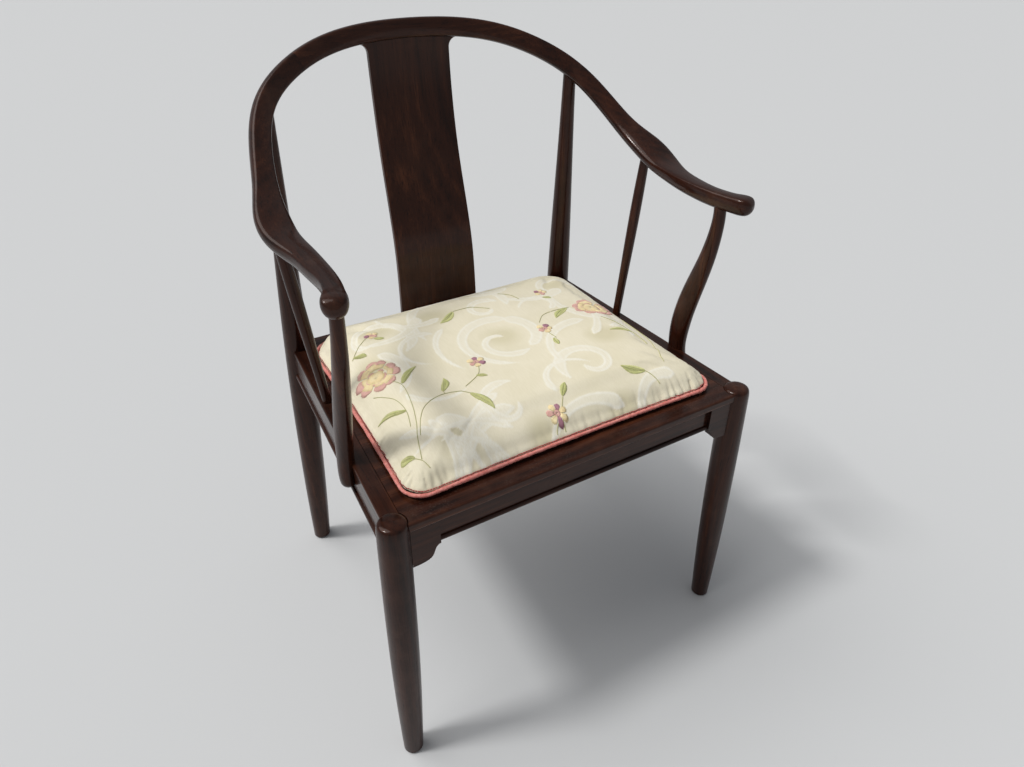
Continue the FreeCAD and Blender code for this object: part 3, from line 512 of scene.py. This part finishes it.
def copy_of(node):
    """The CAD piece's own triangles, joined and facing outward, where the piece stands."""
    bm = bmesh.new()
    bm.from_mesh(node.data)
    bm.transform(node.matrix_world)
    bmesh.ops.remove_doubles(bm, verts=bm.verts, dist=merge_distance)
    bmesh.ops.recalc_face_normals(bm, faces=bm.faces)
    return bm


def placed(bm, name):
    """A new object in the scene from a bmesh."""
    mesh = bpy.data.meshes.new(name)
    bm.to_mesh(mesh)
    bm.free()
    obj = bpy.data.objects.new(name, mesh)
    scene.collection.objects.link(obj)
    return obj


def settle(obj):
    """Puts what the object's modifiers give into its mesh."""
    mesh = bpy.data.meshes.new_from_object(obj.evaluated_get(bpy.context.evaluated_depsgraph_get()))
    obj.modifiers.clear()
    obj.data = mesh
    mesh.name = obj.name


def remeshed(obj, size):
    """The object made again from small even faces."""
    remesh = obj.modifiers.new("remesh", "REMESH")
    remesh.mode = "VOXEL"
    remesh.voxel_size = size
    settle(obj)


def points_of(mesh):
    """The mesh's points as an array."""
    flat = np.empty(len(mesh.vertices) * 3, dtype=np.float32)
    mesh.vertices.foreach_get("co", flat)
    return flat.reshape(-1, 3)


def loop_at(node, level, spacing):
    """An even ring of points where a level plane cuts the CAD piece's outside."""
    bm = copy_of(node)
    cut = bmesh.ops.bisect_plane(bm, geom=bm.verts[:] + bm.edges[:] + bm.faces[:], plane_co=(0, 0, level),
                                 plane_no=(0, 0, 1))["geom_cut"]
    ring = np.array([vert.co[:] for vert in cut if isinstance(vert, bmesh.types.BMVert)])
    bm.free()
    middle = (ring.max(axis=0) + ring.min(axis=0)) / 2
    ring = ring[np.argsort(np.arctan2(ring[:, 1] - middle[1], ring[:, 0] - middle[0]))]
    ring = np.vstack([ring, ring[:1]])
    run = np.concatenate([[0.0], np.cumsum(np.linalg.norm(np.diff(ring, axis=0), axis=1))])
    steps = np.linspace(0.0, run[-1], int(run[-1] / spacing), endpoint=False)
    return np.stack([np.interp(steps, run, ring[:, axis]) for axis in range(3)], axis=1), steps


cover_solid = copy_of(nodes["seat_cushion"])
for vert in cover_solid.verts:
    if vert.co.z > seam_level:
        vert.co -= vert.normal * cover_slack
cover = placed(cover_solid, "cushion_cover")
remeshed(cover, cover_remesh)
cushion_low, cushion_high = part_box("seat_cushion")
cushion_side, cushion_front, cushion_rear = cushion_high[0], cushion_low[1], cushion_high[1]
seam_ring, seam_run = loop_at(nodes["seat_cushion"], seam_level, seam_spacing)
seam_tree = KDTree(len(seam_ring))
for index, point in enumerate(seam_ring):
    seam_tree.insert(point, index)
seam_tree.balance()
for vert in cover.data.vertices:
    place, index, away = seam_tree.find(vert.co)
    inset = math.hypot(vert.co.x - place.x, vert.co.y - place.y)
    if vert.co.z > seam_level:
        rearward = (vert.co.y - cushion_front) / (cushion_rear - cushion_front)
        lift = shoulder_lift_front + (shoulder_lift_rear - shoulder_lift_front) * rearward
        vert.co.z += lift * inset / shoulder_inset * math.exp(1 - inset / shoulder_inset)
        vert.co.z += crown_lift * (1 - (vert.co.x / cushion_side) ** 2) * 4 * rearward * (1 - rearward)
cover_limit = BVHTree.FromPolygons([vert.co[:] for vert in cover.data.vertices],
                                   [face.vertices[:] for face in cover.data.polygons])

held = cover.vertex_groups.new(name="seam")
full = cover.vertex_groups.new(name="fullness")
for vert in cover.data.vertices:
    place, index, away = seam_tree.find(vert.co)
    if vert.co.z < seam_level:
        held.add([vert.index], 1.0, "REPLACE")
    patch = 0.8 + 0.6 * noise.noise(Vector(place) * 14.0)
    share = math.exp(-away / fullness_reach) * patch + fullness_floor
    full.add([vert.index], max(0.0, min(1.0, share)), "REPLACE")
cloth = cover.modifiers.new("filling", "CLOTH")
cloth.settings.quality = cover_quality
cloth.settings.use_pressure = True
cloth.settings.uniform_pressure_force = cover_pressure
cloth.settings.vertex_group_mass = "seam"
cloth.settings.vertex_group_shrink = "fullness"
cloth.settings.shrink_min = 0.0
cloth.settings.shrink_max = cover_fullness
cloth.settings.bending_stiffness = cover_bending
cloth.settings.effector_weights.gravity = 0.0
cloth.point_cache.frame_start = 1
cloth.point_cache.frame_end = cover_frames
for moment in range(1, cover_frames + 1):
    scene.frame_set(moment)
settle(cover)
scene.frame_set(1)
for vert in cover.data.vertices:
    near, facing, index, away = cover_limit.find_nearest(vert.co)
    beyond = (vert.co - near).dot(facing)
    vert.co -= facing * (beyond - cover_reach * math.tanh(beyond / cover_reach))
    place, index, away = seam_tree.find(vert.co)
    if away < seam_reach:
        outward = Vector((vert.normal.x, vert.normal.y, 0.0))
        inward = Vector((place.x - vert.co.x, place.y - vert.co.y, 0.0))
        share = math.exp(-((vert.co.z - seam_level - seam_bulge) / seam_band) ** 2)
        vert.co += (inward * seam_pull + outward * seam_push) * share
smooth = cover.modifiers.new("smooth", "SUBSURF")
smooth.levels = smooth.render_levels = 1
settle(cover)

cover_points = points_of(cover.data)
cover_normals = np.empty(len(cover_points) * 3, dtype=np.float32)
cover.data.vertices.foreach_get("normal", cover_normals)
cover_normals = cover_normals.reshape(-1, 3)
on_top = np.clip((cover_normals[:, 2] - top_from) / top_margin, 0.0, 1.0) * (cover_points[:, 2] > seam_level)
pattern = np.zeros(len(cover_points), dtype=np.float32)
flat_x, flat_y = cover_points[:, 0] * 1000, cover_points[:, 1] * 1000
for centre_x, centre_y, half_x, half_y in fields:
    reach = np.hypot((flat_x - centre_x) / half_x, (flat_y - centre_y) / half_y)
    pattern = np.minimum(pattern, -np.clip((1.0 - reach) * field_edge, 0.0, 1.0))
for centre_x, centre_y, radius_from, radius_to, angle_from, angle_to, half_from, half_to in scrolls:
    share = np.linspace(0.0, 1.0, scroll_steps, dtype=np.float32)
    angle = np.radians(angle_from + (angle_to - angle_from) * share)
    radius = radius_from + (radius_to - radius_from) * share
    path = np.stack([centre_x + radius * np.cos(angle), centre_y + radius * np.sin(angle)], axis=1)
    taper = np.clip(np.minimum(share, 1 - share) * taper_rate + taper_tip, 0, 1)
    half = scroll_breadth * (half_from + (half_to - half_from) * share) * taper
    near = np.full(len(cover_points), -9.0, dtype=np.float32)
    for point, width in zip(path, half):
        near = np.maximum(near, width - np.hypot(flat_x - point[0], flat_y - point[1]))
    outlined = np.clip(near / scroll_edge + 0.5, 0.0, 1.0)
    outlined -= scroll_inside * np.clip((near - scroll_outline) / scroll_blend, 0.0, 1.0)
    pattern = np.where(near > -scroll_edge / 2, np.maximum(pattern * (near < 0), outlined), pattern)
pattern *= on_top
edges = np.array([edge.vertices[:] for edge in cover.data.edges])
around = np.bincount(edges.ravel(), minlength=len(pattern))
raised = pattern
for relief_pass in range(relief_passes):
    beside = np.bincount(edges.ravel(), weights=raised[edges[:, ::-1]].ravel(), minlength=len(pattern))
    raised = relief_kept * raised + (1 - relief_kept) * beside / around

puckered = cover_points.copy()
for index, point in enumerate(cover_points):
    place, near, away = seam_tree.find(point)
    if point[2] < seam_level or away > 4 * pucker_depth:
        continue
    run = float(seam_run[near])
    loose = loose_floor + sum(full * math.exp(-(math.hypot(point[0] - x, point[1] - y) / spread) ** 2)
                              for x, y, spread, full in gathers)
    crease = noise.noise(Vector((run * crease_pitch, away * crease_drift, 1.7)))
    ripple = noise.noise(Vector((run * ripple_pitch, away * ripple_drift, 4.2)))
    wave = crease_base - math.exp(-(crease / crease_width) ** 2) + ripple_share * ripple
    share = math.exp(-(away / pucker_depth) ** 2) * min(1.0, away / pucker_start)
    puckered[index] += cover_normals[index] * (pucker_height * loose * wave * share)
puckered += cover_normals * (raised * scroll_height)[:, None]
cover.data.vertices.foreach_set("co", puckered.ravel())
scroll_values = cover.data.attributes.new("scroll", "FLOAT", "POINT")
scroll_values.data.foreach_set("value", pattern)
cover.data.polygons.foreach_set("use_smooth", [True] * len(cover.data.polygons))
cover.data.update()

tree, given = new_group("woven_cloth", [("Place", "Vector"), ("Threads", "Float")], ["Height", "Tone"])
weave_group = tree
split = node_in(tree, "SeparateXYZ", {0: given["Place"]}).outputs
across = maths(tree, "MULTIPLY", maths(tree, "ADD", split[0], split[2]), given["Threads"])
endwise = maths(tree, "MULTIPLY", maths(tree, "ADD", split[1], split[2]), given["Threads"])
crossing = maths(tree, "MULTIPLY", maths(tree, "SINE", across), maths(tree, "SINE", endwise))
slubs = node_in(tree, "Mapping", {"Vector": given["Place"], "Scale": slub_squash}).outputs[0]
slub = noise_in(tree, slubs, slub_scale, 3.0)
crossing = maths(tree, "MULTIPLY", crossing, crossing_share)
close_group(tree, {"Height": maths(tree, "ADD", crossing, slub), "Tone": slub})

damask, tree, place = new_material("silk_damask")
weave = node_in(tree, "Group", {"Place": place, "Threads": damask_threads}, node_tree=weave_group)
woven = node_in(tree, "Attribute", {}, attribute_name="scroll").outputs["Fac"]
fade = ramped(tree, noise_in(tree, place, fade_scale, 3.0), 0.3, 0.75)
colour = blended(tree, maths(tree, "MULTIPLY", fade, fade_share), cover_ground, cover_shade)
field = maths(tree, "MAXIMUM", maths(tree, "MULTIPLY", woven, -1.0), 0.0)
colour = blended(tree, maths(tree, "MULTIPLY", field, field_share), colour, cover_shade)
colour = blended(tree, maths(tree, "MAXIMUM", woven, 0.0), colour, cover_satin)
colour = blended(tree, ramped(tree, weave.outputs["Tone"], 0.35, 0.65, 0.22, 0.0), colour, cover_shade)
shader_of(damask, colour, weave.outputs["Height"], damask_bump, damask_depth,
          {"Specular IOR Level": 0.35, "Sheen Weight": 0.15, "Sheen Roughness": 0.4},
          Roughness=ramped(tree, woven, -0.5, 1.0, ground_roughness, satin_roughness))
cover.data.materials.clear()
cover.data.materials.append(damask)
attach(cover, "loose_cushion")
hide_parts("seat_cushion")


# The piping. A soft cord is wrapped in a strip of coral satin cut on the bias, and sewn into the seam
# between the cover's two panels all the way round. The wrapping wrinkles slantwise round the cord. Its colour
# is darkened in random patches towards a painted shade, standing for the shade in the satin's folds.

piping_remesh = 0.0012
piping_trim = 0.00060
piping_ripple = 0.00056
piping_wander = 0.00045
wrinkle_pitch = 520.0
wrinkle_slant = 0.6
wander_pitch = 42.0
satin_threads = 9500.0
satin_turn = 45
painted_fold_shade_scale = 300.0
piping_colour = (0.760, 0.290, 0.250, 1.0)
# The darker piping colour is painted shade, laid in random patches for the shade of the satin's folds.
piping_painted_shade = (0.620, 0.180, 0.150, 1.0)

piping = placed(copy_of(nodes["cushion_piping"]), "piping_cord")
remeshed(piping, piping_remesh)
piping_points = points_of(piping.data)
rippled = piping_points.copy()
for vert in piping.data.vertices:
    place, near, away = seam_tree.find(vert.co)
    slant = float(seam_run[near]) + wrinkle_slant * (vert.co.z - seam_level)
    wave = noise.noise(Vector((slant * wrinkle_pitch, vert.co.z * 40.0, 0.0)))
    drift = noise.noise(Vector(vert.co) * wander_pitch)
    swell = piping_ripple * wave + piping_wander * drift - piping_trim
    rippled[vert.index] += np.array(vert.normal * swell)
piping.data.vertices.foreach_set("co", rippled.ravel())
piping.data.polygons.foreach_set("use_smooth", [True] * len(piping.data.polygons))
piping.data.update()

satin, tree, place = new_material("coral_satin")
on_bias = (0.0, 0.0, math.radians(satin_turn))
bias = node_in(tree, "Mapping", {"Vector": place, "Rotation": on_bias}).outputs[0]
weave = node_in(tree, "Group", {"Place": bias, "Threads": satin_threads}, node_tree=weave_group)
# Painted shade: random patches darken the satin towards its painted shade colour, standing for its folds.
painted_fold_shade = ramped(tree, noise_in(tree, place, painted_fold_shade_scale, 3.0), 0.35, 0.65)
shader_of(satin, blended(tree, painted_fold_shade, piping_painted_shade, piping_colour), weave.outputs["Height"], 0.3, 0.0003,
          {"Specular IOR Level": 0.4, "Sheen Weight": 0.2, "Sheen Roughness": 0.4},
          Roughness=ramped(tree, weave.outputs["Tone"], 0.3, 0.7, 0.5, 0.62))
piping.data.materials.clear()
piping.data.materials.append(satin)
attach(piping, "loose_cushion")
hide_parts("cushion_piping")


# The stitching along the piping. A line of short dark red machine stitches runs round the cover just above
# the cord and holds the cord in the seam.

stitch_level = 0.4160
stitch_length = 0.0028
stitch_gap = 0.0004
stitch_radius = 0.00055
stitch_sample = 0.0004
twist_scale = 1400.0
thread_run_scale = 130.0
stitch_colour = (0.430, 0.035, 0.042, 1.0)
stitch_shade = (0.260, 0.014, 0.020, 1.0)

tree, given = new_group("spun_thread", [("Place", "Vector")], ["Tone", "Height"])
yarn_group = tree
twist = noise_in(tree, given["Place"], twist_scale, 2.0)
thread_run = noise_in(tree, given["Place"], thread_run_scale, 2.0)
close_group(tree, {"Tone": maths(tree, "ADD", maths(tree, "MULTIPLY", twist, 0.4),
                                 maths(tree, "MULTIPLY", thread_run, 0.6)), "Height": twist})


def thread_of(name, colour, shade):
    """Shiny embroidery thread in one colour that varies a little."""
    material, tree, place = new_material(name)
    yarn = node_in(tree, "Group", {"Place": place}, node_tree=yarn_group)
    shader_of(material, blended(tree, ramped(tree, yarn.outputs["Tone"], 0.35, 0.65), shade, colour),
              yarn.outputs["Height"], 0.3, 0.0002, {"Specular IOR Level": 0.4, "Sheen Weight": 0.15},
              Roughness=ramped(tree, yarn.outputs["Tone"], 0.3, 0.7, 0.42, 0.55))
    return material


def sewn(name, runs, radius, material):
    """One object from many short threads, each a run of points."""
    curve = bpy.data.curves.new(name, "CURVE")
    curve.dimensions = "3D"
    curve.bevel_depth = radius
    curve.bevel_resolution = 1
    curve.use_fill_caps = True
    for points in runs:
        spline = curve.splines.new("POLY")
        spline.points.add(len(points) - 1)
        for knot, point in zip(spline.points, points):
            knot.co = (point[0], point[1], point[2], 1.0)
    drawn = bpy.data.objects.new(name + "_line", curve)
    scene.collection.objects.link(drawn)
    mesh = bpy.data.meshes.new_from_object(drawn.evaluated_get(bpy.context.evaluated_depsgraph_get()))
    bpy.data.objects.remove(drawn)
    bm = bmesh.new()
    bm.from_mesh(mesh)
    bmesh.ops.remove_doubles(bm, verts=bm.verts, dist=0.000001)
    bmesh.ops.recalc_face_normals(bm, faces=bm.faces)
    for face in bm.faces:
        face.smooth = True
    obj = placed(bm, name)
    obj.data.materials.append(material)
    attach(obj, "loose_cushion")
    return obj


cover_surface = BVHTree.FromPolygons([vert.co[:] for vert in cover.data.vertices],
                                     [face.vertices[:] for face in cover.data.polygons])
stitch_ring = loop_at(nodes["seat_cushion"], stitch_level, stitch_sample)[0]
stitch_steps = int(stitch_length / stitch_sample)
stitch_pause = stitch_steps + max(1, int(stitch_gap / stitch_sample))
stitch_lines = []
for start in range(0, len(stitch_ring) - stitch_steps, stitch_pause):
    line = []
    for step in range(0, stitch_steps + 1, 2):
        near, facing, index, away = cover_surface.find_nearest(Vector(stitch_ring[start + step]))
        bulge = math.sin(math.pi * step / stitch_steps)
        line.append(near + facing * stitch_radius * (0.2 + 0.8 * bulge))
    stitch_lines.append(line)
sewn("piping_stitching", stitch_lines, stitch_radius, thread_of("red_thread", stitch_colour, stitch_shade))


# The embroidery. Small flower sprigs are worked by hand on the cushion's top after weaving: stems in stem
# stitch, leaves and petals in flat satin stitch, each thread laid close beside the last.

stem_radius = 0.00050
silk_radius = 0.00036
silk_pitch = 0.00062
silk_lift = 0.00020
silk_rise = 0.00045
petal_inner = 0.42
petal_overlap = 0.03
petal_filling = 0.9
heart_petals = 5
heart_turn = 0.4
heart_rose_share = 0.46
heart_yellow_share = 0.40
heart_filling = 0.8
blossom_inner = 0.30
blossom_heart = 0.33
rib_share = 0.94
rib_rise = 0.0007
leaf_colour, leaf_shade = (0.670, 0.670, 0.320, 1.0), (0.540, 0.560, 0.220, 1.0)
stem_colour, stem_shade = (0.520, 0.500, 0.250, 1.0), (0.430, 0.420, 0.190, 1.0)
yellow_colour, yellow_shade = (0.920, 0.790, 0.480, 1.0), (0.870, 0.690, 0.380, 1.0)
rose_colour, rose_shade = (0.800, 0.500, 0.420, 1.0), (0.700, 0.400, 0.350, 1.0)
mauve_colour, mauve_shade = (0.470, 0.230, 0.290, 1.0), (0.370, 0.165, 0.215, 1.0)
# Stems, as points on the cushion's top in millimetres.
stems = [
    [(-188, -176), (-180, -148), (-170, -122), (-162, -90), (-158, -54), (-168, -32)],
    [(-178, -124), (-172, -98), (-174, -70), (-184, -52), (-192, -42)],
    [(-176, -147), (-164, -122), (-151, -107), (-133, -100), (-119, -100), (-104, -105), (-95, -114)],
    [(-194, -170), (-188, -178), (-184, -188)], [(-23, 79), (4, 77), (26, 60)],
    [(-158, 72), (-175, 60), (-187, 46)], [(-59, -66), (-69, -84), (-94, -99)], [(62, -42), (64, -58)],
    [(127, 6), (105, 8), (82, 4), (66, -12)], [(4, -164), (-6, -178), (-10, -187), (-12, -197)],
    [(-18, -189), (-22, -193), (-24, -197)], [(129, -167), (134, -176), (138, -188)],
    [(153, -37), (168, -62), (173, -92), (171, -120)],
    [(190, -42), (190, -76), (186, -104), (174, -135), (162, -165)],
    [(-122, -98), (-122, -90)], [(60, 96), (74, 82), (78, 64)],
]
# Leaves: base, tip, half width and bow to the side, in millimetres.
leaves = [((-157, -51), (-128, -27), 4.6, 3), ((-122, -94), (-110, -70), 4.6, -3),
          ((-95, -114), (-83, -152), 5.2, 3), ((-172, -97), (-204, -84), 4.2, -3),
          ((-194, -170), (-205, -156), 5, 2), ((-24, 78), (-54, 56), 6, 3), ((112, 52), (122, 44), 3, 1),
          ((123, 6), (94, -12), 5.5, -3), ((129, -167), (101, -151), 6, 3), ((171, -84), (142, -73), 3.5, -2),
          ((-72, -85), (-60, -92), 3, 1), ((-184, 50), (-170, 36), 4, 2)]
# Large flowers: centre, half width, half depth, turn in degrees, petals.
flowers = [(-173, -10, 29, 31, 12, 9), (162, -4, 34, 28, -8, 9)]
# Small blossoms: centre, half width, turn in degrees, petals.
blossoms = [(-58, -58, 12, 20, 6), (118, 68, 10, 60, 5), (64, -30, 12, -20, 5), (-14, -180, 13, 10, 7),
            (-148, 76, 10, 100, 5)]
# Buds: base, tip, half width.
buds = [((60, -58), (58, -74), 3.8), ((4, -163), (17, -148), 4.2), ((-148, 66), (-136, 60), 3.5)]


def on_cover(x, y, lift):
    """The point on the cover over a place in millimetres, raised by a length."""
    place, facing, index, away = cover_surface.ray_cast(Vector((x / 1000, y / 1000, 1.0)), Vector((0, 0, -1)))
    if place is None:
        beside = Vector((x / 1000, y / 1000, seam_level + 0.006))
        place, facing, index, away = cover_surface.find_nearest(beside)
    return place + facing * lift


def smoothed(points, per_span=8):
    """A smooth line through points on the cushion's top."""
    ends = [points[0]] + list(points) + [points[-1]]
    line = []
    for first, second, third, fourth in zip(ends, ends[1:], ends[2:], ends[3:]):
        for step in range(per_span):
            t = step / per_span
            line.append(tuple(0.5 * (2 * b + (c - a) * t + (2 * a - 5 * b + 4 * c - d) * t * t
                                     + (3 * b - a - 3 * c + d) * t ** 3)
                              for a, b, c, d in zip(first, second, third, fourth)))
    return line + [points[-1]]


def laid(start, end, rise=silk_rise, knots=4):
    """One flat stitch between two places, raised in its middle."""
    return [on_cover(start[0] + (end[0] - start[0]) * t, start[1] + (end[1] - start[1]) * t,
                     silk_lift + rise * math.sin(math.pi * t)) for t in np.linspace(0.0, 1.0, knots)]


def leaf_threads(base, tip, half, bow):
    """Slanting stitches from the midrib to both edges of a leaf."""
    reach = Vector(tip) - Vector(base)
    side = Vector((-reach.y, reach.x)).normalized()
    count = max(5, int(reach.length / 1000 / silk_pitch * 0.8))
    threads = []
    for index in range(count):
        share = index / count
        rib = Vector(base) + reach * share + side * bow * math.sin(math.pi * share)
        swell = math.sin(math.pi * min(1.0, share * 0.95 + 0.05) ** 0.75) ** 0.85
        width = half * swell * random.uniform(0.93, 1.04)
        for sign in (-1, 1):
            edge = rib + side * sign * width + reach.normalized() * width * 0.7
            threads.append(laid(rib, edge))
    return threads


def petal_threads(centre, half_x, half_y, turn, facing, spread, inner, outer, pitch=1.0):
    """Stitches fanned over a part of a petal, between two shares of its length."""
    count = max(3, int(2 * spread * outer * (half_x + half_y) / 2000 / silk_pitch * pitch))
    threads = []
    for index in range(count):
        across = (index + 0.5) / count * 2 - 1
        ends = []
        for share in (inner, outer):
            rounding = 1.0 - 0.16 * across ** 2 if share > 0.9 else 1.0
            share *= rounding * random.uniform(0.965, 1.03)
            angle = facing + across * spread
            along, aside = share * half_x * math.cos(angle), share * half_y * math.sin(angle)
            ends.append((centre[0] + along * math.cos(turn) - aside * math.sin(turn),
                         centre[1] + along * math.sin(turn) + aside * math.cos(turn)))
        threads.append(laid(*ends))
    return threads


leaf_lines, yellow_lines, rose_lines, mauve_lines = [], [], [], []
stem_lines = [[on_cover(x, y, stem_radius * 0.55) for x, y in smoothed(points)] for points in stems]
for base, tip, half, bow in leaves:
    leaf_lines += leaf_threads(base, tip, half, bow)
    rib_end = (base[0] + (tip[0] - base[0]) * rib_share, base[1] + (tip[1] - base[1]) * rib_share)
    stem_lines.append(laid(base, rib_end, rib_rise, 8))
for x, y, half_x, half_y, turn, petals in flowers:
    turn = math.radians(turn)
    for petal in range(petals):
        facing = 2 * math.pi * (petal + random.uniform(-0.12, 0.12)) / petals
        spread = math.pi / petals * random.uniform(0.88, 1.02)
        reach = random.uniform(0.84, 1.06)
        edge = random.uniform(0.62, 0.80)
        out_x, out_y = half_x * reach, half_y * reach
        rose_lines += petal_threads((x, y), out_x, out_y, turn, facing, spread, edge, 1.0)
        yellow_lines += petal_threads((x, y), out_x, out_y, turn, facing, spread, petal_inner,
                                      edge + petal_overlap, petal_filling)
    heart = (x - half_x * 0.12, y - half_y * 0.10)
    for petal in range(heart_petals):
        facing = 2 * math.pi * petal / heart_petals + heart_turn
        rose_lines += petal_threads(heart, half_x * heart_rose_share, half_y * heart_rose_share, turn, facing,
                                    math.pi / heart_petals * random.uniform(0.5, 0.9), 0.82, 1.02)
        yellow_lines += petal_threads(heart, half_x * heart_yellow_share, half_y * heart_yellow_share, turn,
                                      facing, math.pi / heart_petals * 0.98, 0.03, 1.0, heart_filling)
for x, y, half, turn, petals in blossoms:
    turn = math.radians(turn)
    for petal in range(petals):
        lines = (yellow_lines, mauve_lines, yellow_lines, rose_lines)[petal % 4]
        facing = 2 * math.pi * petal / petals
        reach = half * random.uniform(0.8, 1.05)
        lines += petal_threads((x, y), reach, reach, turn, facing, math.pi / petals * 0.78,
                               blossom_inner, 1.0)
        rose_lines += petal_threads((x, y), half, half, turn, facing, math.pi / petals * 0.8,
                                    0.06, blossom_heart)
for base, tip, half in buds:
    leaf_lines += leaf_threads(base, tip, half, 0.0)

sewn("embroidered_stems", stem_lines, stem_radius, thread_of("olive_thread", stem_colour, stem_shade))
sewn("embroidered_leaves", leaf_lines, silk_radius, thread_of("green_thread", leaf_colour, leaf_shade))
sewn("embroidered_yellow_petals", yellow_lines, silk_radius,
     thread_of("yellow_thread", yellow_colour, yellow_shade))
sewn("embroidered_rose_petals", rose_lines, silk_radius, thread_of("rose_thread", rose_colour, rose_shade))
sewn("embroidered_mauve_petals", mauve_lines, silk_radius,
     thread_of("mauve_thread", mauve_colour, mauve_shade))

bpy.context.view_layer.update()
